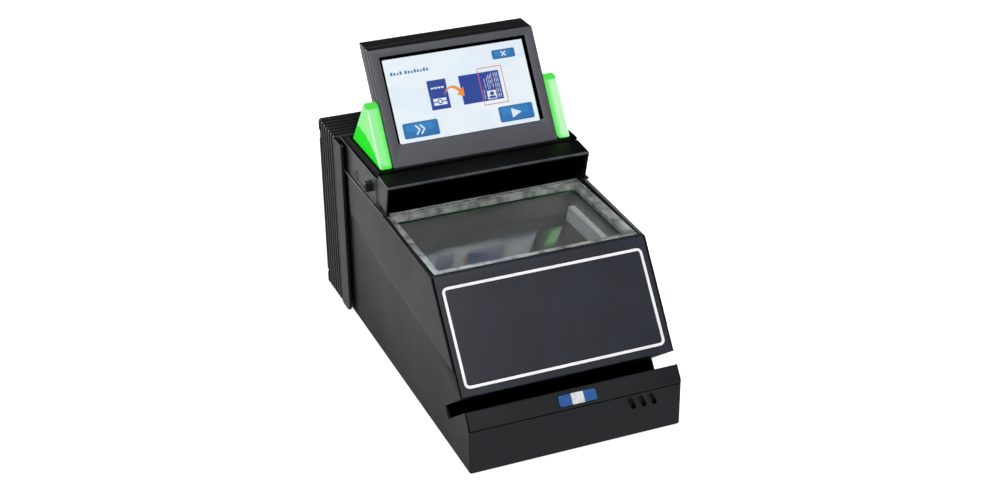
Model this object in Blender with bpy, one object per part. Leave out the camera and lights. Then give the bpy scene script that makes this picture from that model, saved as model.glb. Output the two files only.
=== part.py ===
"""A desktop passport reader: a scanning window with a hood, a swipe channel across
the front, a tilting touch display between two signal lights, and a ribbed rear cover.

Metres, +Z up, the operator at -Y. Sizes called "back" are measured from the front
face, sizes called "height" from the underside of the base shell.
"""

import math

import bmesh
import bpy
from mathutils import Vector

# Whole machine
DEPTH = 0.262
SLEEVE_LENGTH = 0.0358
BASE_LENGTH = DEPTH - SLEEVE_LENGTH
FOOT_PROUD = 0.001
GAP = 0.0003
OVERRUN = 0.006
SKIN = 0.001
HAIR = 0.00001
ARC_STEPS = 4
ROUND_SIDES = 24

# Base shell: a drafted side profile with a sloping front
BASE_HALF_WIDTH = 0.0704
WALL_DRAFT = 0.0007
SIDE_WALL = 0.0028
INNER_HALF_WIDTH = BASE_HALF_WIDTH - SIDE_WALL
FRONT_WALL = 0.0024
FACE_TOP = 0.0298
SLOPE_RISE = 0.0741
RIDGE_BACK = 0.0543
RIDGE_HEIGHT = FACE_TOP + SLOPE_RISE
WALL_RISE = 0.0027
WALL_TOP = RIDGE_HEIGHT + WALL_RISE
SHELL_EDGE = 0.001
FRONT_CORNER = 0.0022
FLANGE_WIDTH = 0.0065
FLANGE_THICKNESS = 0.0025

# Hood over the rear of the window
HOOD_REAR_SHARE = 0.66
HOOD_REAR_BACK = BASE_LENGTH * HOOD_REAR_SHARE
HOOD_LENGTH = 0.0178
HOOD_FRONT_BACK = HOOD_REAR_BACK - HOOD_LENGTH
HOOD_INSET = 0.0016
HOOD_HALF_WIDTH = BASE_HALF_WIDTH - HOOD_INSET
HOOD_LEAN = 0.0068
HOOD_WALL = 0.0024
HOOD_CLEARANCE = 0.0005
CHEEK_FRONT_RISE = 0.0024
CHEEK_REAR_RISE = 0.0047
CHEEK_REAR_STEP = 0.0018
SKIRT_REACH = 0.0005
RAIL_OVERLAP = 0.0055
RAIL_BACK = HOOD_FRONT_BACK + RAIL_OVERLAP

# Display dock behind the hood
DOCK_RISE = 0.024
DOCK_DECK = WALL_TOP + DOCK_RISE
HOOD_FRONT_DROP = 0.002
HOOD_REAR_DROP = 0.0005
HOOD_FRONT_TOP = DOCK_DECK - HOOD_FRONT_DROP
HOOD_REAR_TOP = DOCK_DECK - HOOD_REAR_DROP
DOCK_INSET = 0.0014
DOCK_HALF_WIDTH = BASE_HALF_WIDTH - DOCK_INSET
DOCK_WALL = 0.0024
DOCK_STRIP = 0.001
DOCK_STRIP_PROUD = 0.0006
DOCK_STRIP_X = BASE_HALF_WIDTH + DOCK_STRIP_PROUD
SHOULDER_DROP = 0.0044
DOCK_SHOULDER = DOCK_DECK - SHOULDER_DROP
GROOVE_DEPTH = 0.0028
DOCK_GROOVE_X = DOCK_HALF_WIDTH - GROOVE_DEPTH
RIB_LIFT = 0.0015
RIB_HEIGHT = 0.0013
RIB_INSET = 0.001
DOCK_RIB_X = DOCK_HALF_WIDTH - RIB_INSET
DOCK_RIB_BOTTOM = DOCK_SHOULDER + RIB_LIFT
DOCK_RIB_TOP = DOCK_RIB_BOTTOM + RIB_HEIGHT
RIM_DROP = 0.0008
RIM_RISE = 0.0014
DOCK_RIM_BOTTOM = DOCK_DECK - RIM_DROP
DOCK_RIM_TOP = DOCK_DECK + RIM_RISE
RIM_INSET = 0.001
DOCK_RIM = 0.0012
DOCK_RIM_X = DOCK_HALF_WIDTH - RIM_INSET
CHAMFER_LENGTH = 0.0079
DOCK_CHAMFER_BACK = HOOD_REAR_BACK + CHAMFER_LENGTH

# Rear cover with its ribs and its smooth front rim
SLEEVE_STEP = 0.0023
SLEEVE_HALF_WIDTH = BASE_HALF_WIDTH + SLEEVE_STEP
SLEEVE_TOP = DOCK_SHOULDER
SLEEVE_BOTTOM = 0.001
SLEEVE_CORNER = 0.0018
RIM_REACH = 0.0122
RIM_FRONT_BACK = BASE_LENGTH - RIM_REACH
RIM_TOP_DROP = 0.0009
RIM_TOP = SLEEVE_TOP - RIM_TOP_DROP
RIM_CORNER = 0.004
RIM_CLEARANCE = 0.0004
RIM_INNER_X = BASE_HALF_WIDTH + RIM_CLEARANCE
RIB_COUNT = 7
GROOVE_SHARE = 0.44
FLANK_SHARE = 0.08
RIB_DEPTH = 0.0015
SLEEVE_WALL = 0.0021
CATCH_DEPTH = 0.001
CATCH_LENGTH = 0.0022
CATCH_TOP_DROP = 0.011
CATCH_TOP_HEIGHT = SLEEVE_TOP - CATCH_TOP_DROP
CATCH_TOP_HALF = 0.0029
CATCH_LOW_HEIGHT = 0.0108
CATCH_LOW_HALF = 0.0012
DECK_END_STEP = 0.0005
DECK_REAR_BACK = RIM_FRONT_BACK - DECK_END_STEP

# Shallow panel pressed into each side, below a raised band
PANEL_REAR_DEPTH = 0.0011
PANEL_FRONT_DEPTH = 0.0006
PANEL_REAR_STEP = 0.0075
PANEL_REAR_BACK = RIM_FRONT_BACK - PANEL_REAR_STEP
PANEL_REAR_DROP = 0.0296
PANEL_REAR_HEIGHT = WALL_TOP - PANEL_REAR_DROP
PANEL_KNEE = 0.0095
PANEL_KNEE_BACK = PANEL_REAR_BACK - PANEL_KNEE
PANEL_BEND_STEP = 0.0008
PANEL_BEND_BACK = HOOD_REAR_BACK + PANEL_BEND_STEP
PANEL_BEND_DROP = 0.0409
PANEL_BEND_HEIGHT = WALL_TOP - PANEL_BEND_DROP
PANEL_FRONT_BACK = 0.03
PANEL_FRONT_DROP = 0.0493
PANEL_FRONT_HEIGHT = WALL_TOP - PANEL_FRONT_DROP
PANEL_SLOPE = 0.0011

# Slots in front of the speaker
SLOT_COUNT = 3
SLOT_PITCH = 0.00695
SLOT_INSET = 0.0204
SLOT_LAST_X = BASE_HALF_WIDTH - SLOT_INSET
SLOT_DROP = 0.0074
SLOT_HEIGHT = FACE_TOP - SLOT_DROP
SLOT_LENGTH = 0.0062
SLOT_RADIUS = 0.0015
SLOT_LEAN = math.radians(27)
SPEAKER_HALF_WIDTH = 0.014
SPEAKER_HEIGHT = 0.0195
SPEAKER_BOTTOM = 0.006
SPEAKER_DEPTH = 0.0055

# Cover plate on the slope, and the channel through it
PLATE = 0.0024
PLATE_INSET = 0.0014
PLATE_HALF_WIDTH = BASE_HALF_WIDTH - PLATE_INSET
PLATE_EDGE = 0.0004
LIP_WRAP = 0.001
LIP_LENGTH = 0.0109
CHANNEL_WIDTH = 0.0082
CHANNEL_DEPTH = 0.0343
TRACK_WALL = 0.0016
TRACK_HALF_WIDTH = INNER_HALF_WIDTH - GAP
HEAD_WIDTH = 0.046
HEAD_THICKNESS = 0.013
HEAD_START = 0.008
HEAD_LENGTH = 0.02
HEAD_WINDOW = 0.012
HEAD_WINDOW_WIDTH = 0.036
HEAD_GLASS = 0.0012

# Guide line let into the plate
GUIDE_INSET = 0.0036
GUIDE_HALF_WIDTH = PLATE_HALF_WIDTH - GUIDE_INSET
GUIDE_START = 0.0068
GUIDE_END_MARGIN = 0.0048
GUIDE_CORNER = 0.0035
GUIDE_LINE = 0.0017
GUIDE_DEPTH = 0.0008

# Status lenses in the lip below the channel
STATUS_X = 0.0015
STATUS_WIDTH = 0.0079
STATUS_MARGIN = 0.0028
STATUS_LENGTH = 0.0068
STATUS_CORNER = 0.0012

# Scanning window
GLASS_INSET = 0.0009
GLASS_HALF_WIDTH = INNER_HALF_WIDTH - GLASS_INSET
GLASS_FRONT_STEP = 0.0034
GLASS_FRONT_BACK = RIDGE_BACK + GLASS_FRONT_STEP
GLASS_REAR_BACK = HOOD_REAR_BACK - HOOD_WALL - GAP
GLASS_THICKNESS = 0.003
FRAME_BORDER = 0.0055
FRAME_THICKNESS = 0.003
FRAME_HALF_WIDTH = INNER_HALF_WIDTH - GAP
ANTENNA_THICKNESS = 0.0012
ANTENNA_BORDER = 0.0045
BOX_WALL = 0.0015
BOX_HEIGHT = 0.045
BOX_TAPER = 0.009
BAR_WIDTH = 0.004
BAR_DROP = 0.006
BAR_HEIGHT = 0.009
BAR_MARGIN = 0.012

# Camera under the light box
CAMERA_BOARD_HALF = 0.019
LENS_RADIUS = 0.0075
LENS_TIP_RADIUS = 0.0095
LENS_TIP_HEIGHT = 0.007
HOLDER_HALF = 0.0105
HOLDER_HEIGHT = 0.009
LENS_HOLE_RADIUS = 0.0125

# Base plate, its feet and screws
PLATE_FLOOR = 0.0024
FOOT_RADIUS = 0.0065
FOOT_RECESS = 0.0008
FOOT_INSET = 0.0184
FOOT_X = BASE_HALF_WIDTH - FOOT_INSET
FOOT_FRONT_BACK = 0.02
FOOT_REAR_STEP = 0.0202
FOOT_REAR_BACK = BASE_LENGTH - FOOT_REAR_STEP
SCREW_RADIUS = 0.0015
SCREW_HEAD_RADIUS = 0.0029
SCREW_HEAD_DEPTH = 0.0012
SCREW_INSET = 0.0044
SCREW_X = INNER_HALF_WIDTH - SCREW_INSET
SCREW_FRONT_BACK = 0.034
SCREW_REAR_STEP = 0.0362
SCREW_REAR_BACK = BASE_LENGTH - SCREW_REAR_STEP

# Main board on its frame
BOARD = 0.0016
BOARD_INSET = 0.0116
BOARD_HALF_WIDTH = INNER_HALF_WIDTH - BOARD_INSET
BOARD_FRONT_STEP = 0.0015
BOARD_FRONT_BACK = HOOD_REAR_BACK - BOARD_FRONT_STEP
SPACER_HEIGHT = 0.008
SPACER_WALL = 0.003

# Signal lights beside the display
LIGHT_INSET = 0.0008
LIGHT_OUTER_X = DOCK_GROOVE_X - LIGHT_INSET
LIGHT_WIDTH = 0.0083
LIGHT_INNER_X = LIGHT_OUTER_X - LIGHT_WIDTH
LIGHT_RISE = 0.0349
LIGHT_HEIGHT = DOCK_DECK + LIGHT_RISE
LIGHT_CHAMFER_HEIGHT = 0.0032
LIGHT_REAR_STEP = 0.0037
LIGHT_REAR_BACK = DECK_REAR_BACK - LIGHT_REAR_STEP
LIGHT_CHAMFER = 0.0028
LIGHT_TOP_LENGTH = 0.0048
LIGHT_EDGE = 0.0011
LIGHT_SLOT_START = 0.0177
LIGHT_SLOT_END = 0.0078
LIGHT_SLOT_INSET = 0.0022
LIGHT_BOARD = 0.0012

# Display, leaning back
DISPLAY_FOOT_STEP = 0.005
DISPLAY_FOOT_BACK = HOOD_REAR_BACK + DISPLAY_FOOT_STEP
DISPLAY_ANGLE = math.radians(56.5)
DISPLAY_SIDE_GAP = 0.0004
DISPLAY_HALF_WIDTH = LIGHT_INNER_X - DISPLAY_SIDE_GAP
DISPLAY_HEIGHT = 0.0764
DISPLAY_THICKNESS = 0.0145
BEZEL_DEPTH = 0.0055
BARREL_RADIUS = 0.0055
REAR_FOOT_LIFT = 0.0009
DISPLAY_EDGE = 0.0009
WINDOW_SIDE = 0.0083
WINDOW_TOP = 0.0068
WINDOW_BOTTOM = 0.0144
WINDOW_CORNER = 0.0012
WINDOW_CHAMFER = 0.0015
WINDOW_CHAMFER_DEPTH = 0.001
LIP = 0.0013
TOUCH_GLASS = 0.0014
TOUCH_BORDER = 0.0028
PANEL_THICKNESS = 0.0032
BACK_WALL = 0.0018
DISPLAY_BOARD_INSET = 0.0163
DISPLAY_BOARD_MARGIN = 0.0095

# Well that the display turns in, and the hinge
WELL_CLEARANCE = 0.0007
WELL_SIDE_GAP = 0.0006
WELL_WALL = 0.0024
WELL_FLOOR_LENGTH = 0.0197
WELL_FLOOR_BACK = DISPLAY_FOOT_BACK + WELL_FLOOR_LENGTH
WELL_RUN = 0.0075
WELL_REAR_BACK = WELL_FLOOR_BACK + WELL_RUN
PIN_RADIUS = 0.002
PIN_CLEARANCE = 0.00008
PIN_EDGE = 0.0003
PIN_REACH = 0.0105

# Power button on the left of the dock
BUTTON_STEP = 0.0099
BUTTON_BACK = DISPLAY_FOOT_BACK + BUTTON_STEP
BUTTON_LIFT = 0.0103
BUTTON_HEIGHT = WALL_TOP + BUTTON_LIFT
BUTTON_DEPTH = 0.0045
BUTTON_TALL = 0.006
BUTTON_PROUD = 0.0043
BUTTON_EDGE = 0.0005
BUTTON_DIMPLE_RADIUS = 0.0012
BUTTON_DIMPLE = 0.0007
BUTTON_TRAVEL = 0.0015
BUTTON_CLEARANCE = 0.0004
BUTTON_COLLAR = 0.001
PLUNGER_RADIUS = 0.0013
SWITCH_HALF = 0.0038
SWITCH_DEPTH = 0.0027
SWITCH_SPACE = 0.0039

# Panel inside the rear cover, with its sockets
PANEL_REAR_INSET = 0.007
REAR_PANEL = 0.002
SOCKET_CLEARANCE = 0.0004
USB_WIDTH = 0.0132
USB_HEIGHT = 0.0058
USB_LENGTH = 0.0148
LAN_WIDTH = 0.0162
LAN_HEIGHT = 0.0135
LAN_LENGTH = 0.0185
JACK_WIDTH = 0.009
JACK_HEIGHT = 0.011
JACK_LENGTH = 0.0138
SOCKET_PITCH = 0.019
SOCKET_INSET = 0.0349
SOCKET_FIRST_X = SOCKET_INSET - BASE_HALF_WIDTH
SOCKET_PROUD = 0.0006
VENT_COUNT = 9
VENT_PITCH = 0.006
VENT_RADIUS = 0.0011
VENT_LENGTH = 0.03
VENT_DROP = 0.0442


def clear_scene():
    for obj in list(bpy.data.objects):
        bpy.data.objects.remove(obj, do_unlink=True)


def material(name, colour, roughness, metallic=0.0, transmission=0.0, glow=0.0):
    """A Principled material in the part's own colour."""
    made = bpy.data.materials.new(name)
    made.use_nodes = True
    shader = made.node_tree.nodes["Principled BSDF"]
    shader.inputs["Base Color"].default_value = (*colour, 1.0)
    shader.inputs["Roughness"].default_value = roughness
    shader.inputs["Metallic"].default_value = metallic
    shader.inputs["Transmission Weight"].default_value = transmission
    shader.inputs["Emission Color"].default_value = (*colour, 1.0)
    shader.inputs["Emission Strength"].default_value = glow
    made.diffuse_color = (*colour, 1.0)
    return made


def at(back, height):
    """(y, z) of a point given from the front face and the underside."""
    return (back - DEPTH / 2, height + FOOT_PROUD)


def side_place(y, z, x):
    """Places an outline drawn in the side view and run across the machine."""
    return (x, y, z)


def front_place(x, z, y):
    """Places an outline drawn in the front view and run from front to back."""
    return (x, y, z)


def plan_place(x, y, z):
    """Places an outline drawn in plan and run upwards."""
    return (x, y, z)


SLOPE_RUN = math.hypot(RIDGE_BACK, SLOPE_RISE)
SLOPE_BACK_SHARE = RIDGE_BACK / SLOPE_RUN
SLOPE_RISE_SHARE = SLOPE_RISE / SLOPE_RUN
CHANNEL_END = SLOPE_RUN - LIP_LENGTH
CHANNEL_START = CHANNEL_END - CHANNEL_WIDTH
GUIDE_END = CHANNEL_START - GUIDE_END_MARGIN
STATUS_START = CHANNEL_END + STATUS_MARGIN


def slope_point(down, inward):
    """(y, z) of a point on the front slope: down from the ridge, and in from its face."""
    back = RIDGE_BACK - down * SLOPE_BACK_SHARE + inward * SLOPE_RISE_SHARE
    height = RIDGE_HEIGHT - down * SLOPE_RISE_SHARE - inward * SLOPE_BACK_SHARE
    return at(back, height)


def slope_place(x, down, inward):
    """Places an outline drawn on the front slope and run into it."""
    return (x, *slope_point(down, inward))


def display_point(up, inward):
    """(y, z) of a point on the display: up its face from the foot, and behind the face."""
    back = DISPLAY_FOOT_BACK + up * math.cos(DISPLAY_ANGLE) + inward * math.sin(DISPLAY_ANGLE)
    height = DOCK_DECK + up * math.sin(DISPLAY_ANGLE) - inward * math.cos(DISPLAY_ANGLE)
    return at(back, height)


def display_place(x, up, inward):
    """Places an outline drawn on the display's face and run into it."""
    return (x, *display_point(up, inward))


def rounded(outline, radius, steps=ARC_STEPS):
    """The outline with each corner turned into an arc; radius is one value or one a corner."""
    radii = radius if isinstance(radius, (list, tuple)) else [radius] * len(outline)
    points = [Vector(point) for point in outline]
    result = []
    for index, corner in enumerate(points):
        before = (points[index - 1] - corner).normalized()
        after = (points[(index + 1) % len(points)] - corner).normalized()
        if radii[index] == 0:
            result.append(tuple(corner))
            continue
        half = before.angle(after) / 2
        reach = radii[index] / math.tan(half)
        centre = corner + (before + after).normalized() * radii[index] / math.sin(half)
        first = corner + before * reach - centre
        last = corner + after * reach - centre
        for step in range(steps + 1):
            share = step / steps
            arm = first.slerp(last, share, first)
            result.append(tuple(centre + arm.normalized() * radii[index]))
    return result


def rectangle(half_width, low, high, middle=0.0):
    return [
        (middle - half_width, low),
        (middle + half_width, low),
        (middle + half_width, high),
        (middle - half_width, high),
    ]


def circle(centre, radius, sides=ROUND_SIDES):
    return [
        (
            centre[0] + radius * math.cos(2 * math.pi * step / sides),
            centre[1] + radius * math.sin(2 * math.pi * step / sides),
        )
        for step in range(sides)
    ]


def mirrored(points):
    """An outline of the +X half, closed with its mirror image."""
    return points + [(-x, z) for x, z in reversed(points)]


def loft(loops):
    """A closed mesh through loops of points, one after another, with a face on each end."""
    mesh = bmesh.new()
    rings = [[mesh.verts.new(point) for point in loop] for loop in loops]
    for lower, upper in zip(rings, rings[1:]):
        for index in range(len(lower)):
            nearby = (index + 1) % len(lower)
            mesh.faces.new((lower[index], lower[nearby], upper[nearby], upper[index]))
    mesh.faces.new(list(reversed(rings[0])))
    mesh.faces.new(rings[-1])
    bmesh.ops.recalc_face_normals(mesh, faces=mesh.faces)
    return mesh


def prism(outline, start, end, place, edge=0.0, edge_steps=2):
    """An outline run from start to end; edge rounds the two rims."""
    mesh = loft([[place(*point, level) for point in outline] for level in (start, end)])
    if edge:
        caps = [face for face in mesh.faces if len(face.verts) == len(outline)][-2:]
        rims = {line for face in caps for line in face.edges}
        bmesh.ops.bevel(
            mesh, geom=list(rims), offset=edge, segments=edge_steps, profile=0.5,
            affect="EDGES", clamp_overlap=True,
        )
    return mesh


def joined(meshes):
    """Several separate closed meshes as one."""
    result = bmesh.new()
    for mesh in meshes:
        made = [result.verts.new(vert.co) for vert in mesh.verts]
        mesh.verts.index_update()
        for face in mesh.faces:
            result.faces.new([made[vert.index] for vert in face.verts])
        mesh.free()
    return result


def make(name, mesh, finish=None, origin=None, parent=None, smooth=True):
    """An object with its origin at the middle of its box, or where it turns or slides."""
    if origin is None:
        corners = [[vert.co[axis] for vert in mesh.verts] for axis in range(3)]
        origin = Vector([(min(values) + max(values)) / 2 for values in corners])
    bmesh.ops.translate(mesh, verts=mesh.verts, vec=-Vector(origin))
    data = bpy.data.meshes.new(name)
    mesh.to_mesh(data)
    mesh.free()
    if smooth:
        data.shade_smooth()
        data.set_sharp_from_angle(angle=math.radians(32))
    obj = bpy.data.objects.new(name, data)
    bpy.context.scene.collection.objects.link(obj)
    obj.location = Vector(origin)
    if parent:
        obj.parent = parent
        obj.location = Vector(origin) - parent.location
    if finish:
        data.materials.append(finish)
    return obj


def change(target, mesh, operation="DIFFERENCE"):
    """Cuts a mesh from an object, or joins it on, and keeps it as a hidden helper."""
    tool = make(f"{target.name}_{operation.lower()}_{len(target.modifiers)}", mesh, smooth=False)
    tool.hide_render = True
    tool.display_type = "WIRE"
    step = target.modifiers.new(tool.name, "BOOLEAN")
    step.operation = operation
    step.solver = "EXACT"
    step.object = tool


def joint_empty(name, place):
    empty = bpy.data.objects.new(name, None)
    empty.location = place
    bpy.context.scene.collection.objects.link(empty)
    return empty


def box(half_width, back, height, middle=0.0):
    """A plain block: half width, (front, rear) distances back and (low, high) heights."""
    low = at(back[0], height[0])
    high = at(back[1], height[1])
    outline = [(low[0], low[1]), (high[0], low[1]), (high[0], high[1]), (low[0], high[1])]
    return prism(outline, middle - half_width, middle + half_width, side_place)


def ring_plate(half_width, back, height, border):
    """A flat rectangular ring, as two loops joined by faces."""
    (front, _), (rear, _) = at(back[0], 0), at(back[1], 0)
    outer = rectangle(half_width, front, rear)
    inner = rectangle(half_width - border, front + border, rear - border)
    levels = [height[0] + FOOT_PROUD, height[1] + FOOT_PROUD]
    return ring_prism(outer, inner, levels, plan_place)


def ring_prism(outer, inner, levels, place):
    """A closed band between an outer and an inner outline of as many points."""
    mesh = bmesh.new()
    loops = [
        [mesh.verts.new(place(*point, level)) for point in outline]
        for outline, level in (
            (outer, levels[0]), (outer, levels[1]), (inner, levels[1]), (inner, levels[0]),
        )
    ]
    for lower, upper in zip(loops, loops[1:] + loops[:1]):
        for index in range(len(lower)):
            nearby = (index + 1) % len(lower)
            mesh.faces.new((lower[index], lower[nearby], upper[nearby], upper[index]))
    bmesh.ops.recalc_face_normals(mesh, faces=mesh.faces)
    return mesh


def obround(centre, length, radius, lean, steps=2 * ARC_STEPS):
    """A slot outline with round ends, leaning from upright."""
    along = Vector((-math.sin(lean), math.cos(lean)))
    across = Vector((math.cos(lean), math.sin(lean)))
    points = []
    for side in (1, -1):
        end = Vector(centre) + along * side * length / 2
        for step in range(steps + 1):
            turn = math.pi * step / steps
            points.append(tuple(end + side * radius * (across * math.cos(turn) + along * math.sin(turn))))
    return points


FINISHES = {}


def prepare_finishes():
    FINISHES.update(
        shell=material("shell_black", (0.02, 0.02, 0.022), 0.55),
        plate=material("plate_black", (0.012, 0.013, 0.016), 0.5),
        bezel=material("bezel_grey", (0.09, 0.088, 0.1), 0.45),
        white=material("guide_white", (0.85, 0.85, 0.85), 0.4),
        blue=material("lens_blue", (0.05, 0.18, 0.5), 0.3),
        pale=material("lens_white", (0.75, 0.78, 0.85), 0.3),
        green=material("signal_green", (0.12, 0.95, 0.16), 0.3, glow=0.6),
        glass=material("clear_glass", (0.9, 0.95, 0.93), 0.05, transmission=0.9),
        screen=material("screen", (0.78, 0.88, 0.95), 0.2, glow=0.5),
        steel=material("steel", (0.6, 0.6, 0.6), 0.35, metallic=1.0),
        board=material("circuit_green", (0.02, 0.12, 0.05), 0.5),
        silver=material("box_silver", (0.55, 0.55, 0.56), 0.35, metallic=0.6),
        rubber=material("rubber", (0.015, 0.015, 0.015), 0.9),
    )


def shell_outline():
    return [
        at(0, 0),
        at(0, FACE_TOP),
        at(RIDGE_BACK, RIDGE_HEIGHT),
        at(RAIL_BACK, WALL_TOP),
        at(BASE_LENGTH, WALL_TOP),
        at(BASE_LENGTH, 0),
    ]


def slope_at_height(height, inward):
    """(y, z) where a line this far in from the slope has this height."""
    down = (RIDGE_HEIGHT - height - inward * SLOPE_BACK_SHARE) / SLOPE_RISE_SHARE
    return slope_point(down, inward)


def rebate_outline():
    """What the cover plate and the lip need, with their clearance."""
    seat = PLATE + GAP
    rear = slope_at_height(RIDGE_HEIGHT, seat)
    foot = slope_at_height(FACE_TOP - LIP_WRAP - GAP, seat)
    front = at(-OVERRUN, 0)[0]
    top = at(0, RIDGE_HEIGHT)[1] + OVERRUN
    return [(rear[0], top), rear, foot, (front, foot[1]), (front, top)]


def panel_outline(rise):
    """The lower side panel, with its upper edge raised by the width of its slope."""
    floor = -OVERRUN
    far = BASE_LENGTH + OVERRUN
    return [
        at(-OVERRUN, floor),
        at(-OVERRUN, PANEL_FRONT_HEIGHT + rise),
        at(PANEL_FRONT_BACK, PANEL_FRONT_HEIGHT + rise),
        at(PANEL_BEND_BACK, PANEL_BEND_HEIGHT + rise),
        at(PANEL_KNEE_BACK, PANEL_REAR_HEIGHT + rise),
        at(PANEL_REAR_BACK + rise, PANEL_REAR_HEIGHT + rise),
        at(PANEL_REAR_BACK + rise, WALL_TOP + OVERRUN),
        at(far, WALL_TOP + OVERRUN),
        at(far, floor),
    ]


def side_panel(side):
    """Cutter for the shallow panel, deeper towards the rear."""
    front = at(PANEL_FRONT_BACK, 0)[0]
    rear = at(PANEL_REAR_BACK, 0)[0]
    loops = []
    for rise, outward in ((0, -1), (2 * PANEL_SLOPE, 1)):
        loop = []
        for y, z in panel_outline(rise):
            along = (y - front) / (rear - front)
            depth = PANEL_FRONT_DEPTH + (PANEL_REAR_DEPTH - PANEL_FRONT_DEPTH) * along
            fall = WALL_DRAFT * (1 - (z - FOOT_PROUD) / WALL_TOP)
            surface = BASE_HALF_WIDTH - fall
            loop.append((side * (surface + outward * depth), y, z))
        loops.append(loop)
    return loft(loops)


def channel_cutter():
    """The swipe channel, open to the front and past both sides."""
    reach = BASE_HALF_WIDTH + OVERRUN
    outline = [
        slope_point(CHANNEL_START, -OVERRUN),
        slope_point(CHANNEL_END, -OVERRUN),
        slope_point(CHANNEL_END, CHANNEL_DEPTH),
        slope_point(CHANNEL_START, CHANNEL_DEPTH),
    ]
    return prism(outline, -reach, reach, side_place)


def draft(mesh, low, high, share):
    """Narrows a mesh evenly towards its foot, by this share of its width at the low level."""
    for vert in mesh.verts:
        fall = (high - vert.co.z) / (high - low)
        vert.co.x *= 1 - share * fall
    return mesh


def corner_cutter(side):
    """Rounds the upright front corner on one side, with the draft of the wall."""
    front = at(0, 0)[0]
    centre_y = front + FRONT_CORNER - HAIR
    loops = []
    for height in (-OVERRUN, FACE_TOP + OVERRUN):
        wall = BASE_HALF_WIDTH - WALL_DRAFT * (1 - height / WALL_TOP)
        centre_x = wall - FRONT_CORNER + HAIR
        loop = [(wall + OVERRUN, centre_y), (wall + OVERRUN, front - OVERRUN), (centre_x, front - OVERRUN)]
        for step in range(ARC_STEPS + 1):
            turn = math.pi / 2 * (step / ARC_STEPS - 1)
            arm = (FRONT_CORNER * math.cos(turn), FRONT_CORNER * math.sin(turn))
            loop.append((centre_x + arm[0], centre_y + arm[1]))
        loops.append([(side * x, y, height + FOOT_PROUD) for x, y in loop])
    return loft(loops)


def build_base_shell():
    mesh = prism(
        shell_outline(), -BASE_HALF_WIDTH, BASE_HALF_WIDTH, side_place, SHELL_EDGE
    )
    foot = FOOT_PROUD
    draft(mesh, foot, foot + WALL_TOP, WALL_DRAFT / BASE_HALF_WIDTH)
    shell = make("base_shell", mesh, FINISHES["shell"])
    for side in (-1, 1):
        change(shell, corner_cutter(side))
    far = BASE_LENGTH + OVERRUN
    change(shell, box(INNER_HALF_WIDTH, (FRONT_WALL, far), (-OVERRUN, PLATE_FLOOR + GAP)))
    flange_top = PLATE_FLOOR + GAP + FLANGE_THICKNESS
    change(
        shell,
        box(
            INNER_HALF_WIDTH - FLANGE_WIDTH,
            (FRONT_WALL + FLANGE_WIDTH, far),
            (0, flange_top + SKIN),
        ),
    )
    change(shell, box(INNER_HALF_WIDTH, (FRONT_WALL, far), (flange_top, WALL_TOP + OVERRUN)))
    reach = PLATE_HALF_WIDTH + GAP
    change(shell, prism(rebate_outline(), -reach, reach, side_place))
    change(shell, channel_cutter())
    slots = []
    for index in range(SLOT_COUNT):
        centre = (SLOT_LAST_X - index * SLOT_PITCH, SLOT_HEIGHT + FOOT_PROUD)
        outline = obround(centre, SLOT_LENGTH, SLOT_RADIUS, SLOT_LEAN)
        front = at(-OVERRUN, 0)[0]
        rear = at(FRONT_WALL + SKIN, 0)[0]
        slots.append(prism(outline, front, rear, front_place))
    change(shell, joined(slots))
    for side in (-1, 1):
        change(shell, side_panel(side))
    holes = [
        prism(circle(spot, SCREW_RADIUS + GAP), FOOT_PROUD, FOOT_PROUD + WALL_TOP / 2, plan_place)
        for spot in screw_spots()
    ]
    change(shell, joined(holes))


def screw_spots():
    return [
        (side * SCREW_X, at(back, 0)[0])
        for side in (-1, 1)
        for back in (SCREW_FRONT_BACK, SCREW_REAR_BACK)
    ]


def foot_spots():
    return [
        (side * FOOT_X, at(back, 0)[0])
        for side in (-1, 1)
        for back in (FOOT_FRONT_BACK, FOOT_REAR_BACK)
    ]


def build_base_plate():
    plate = make(
        "base_plate",
        box(
            INNER_HALF_WIDTH - GAP,
            (FRONT_WALL + GAP, BASE_LENGTH),
            (0, PLATE_FLOOR),
        ),
        FINISHES["shell"],
    )
    low = FOOT_PROUD - OVERRUN
    seats = [
        prism(circle(spot, FOOT_RADIUS + GAP), low, FOOT_PROUD + FOOT_RECESS, plan_place)
        for spot in foot_spots()
    ]
    change(plate, joined(seats))
    heads = [
        prism(
            circle(spot, SCREW_HEAD_RADIUS + GAP), low, FOOT_PROUD + SCREW_HEAD_DEPTH, plan_place
        )
        for spot in screw_spots()
    ]
    change(plate, joined(heads))
    high = FOOT_PROUD + PLATE_FLOOR + OVERRUN
    holes = [
        prism(circle(spot, SCREW_RADIUS + GAP), low, high, plan_place) for spot in screw_spots()
    ]
    change(plate, joined(holes))


CORNER_NAMES = ("front_left", "rear_left", "front_right", "rear_right")


def build_feet():
    high = FOOT_PROUD + FOOT_RECESS - GAP
    for name, spot in zip(CORNER_NAMES, foot_spots()):
        foot = prism(circle(spot, FOOT_RADIUS), 0, high, plan_place, SKIN / 2)
        make(f"foot_{name}", foot, FINISHES["rubber"])


def screw(spot, head_low, head_high, tip):
    """A plain screw: a flat head with its shank standing on it."""
    head = circle(spot, SCREW_HEAD_RADIUS)
    shank = circle(spot, SCREW_RADIUS)
    loops = [
        [(x, y, head_low) for x, y in head],
        [(x, y, head_high) for x, y in head],
        [(x, y, head_high) for x, y in shank],
        [(x, y, tip) for x, y in shank],
    ]
    return loft(loops)


def build_base_screws():
    head_low = FOOT_PROUD + GAP
    head_high = FOOT_PROUD + SCREW_HEAD_DEPTH - GAP
    tip = FOOT_PROUD + PLATE_FLOOR + FLANGE_THICKNESS
    for name, spot in zip(CORNER_NAMES, screw_spots()):
        make(f"screw_{name}", screw(spot, head_low, head_high, tip), FINISHES["steel"])


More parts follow.
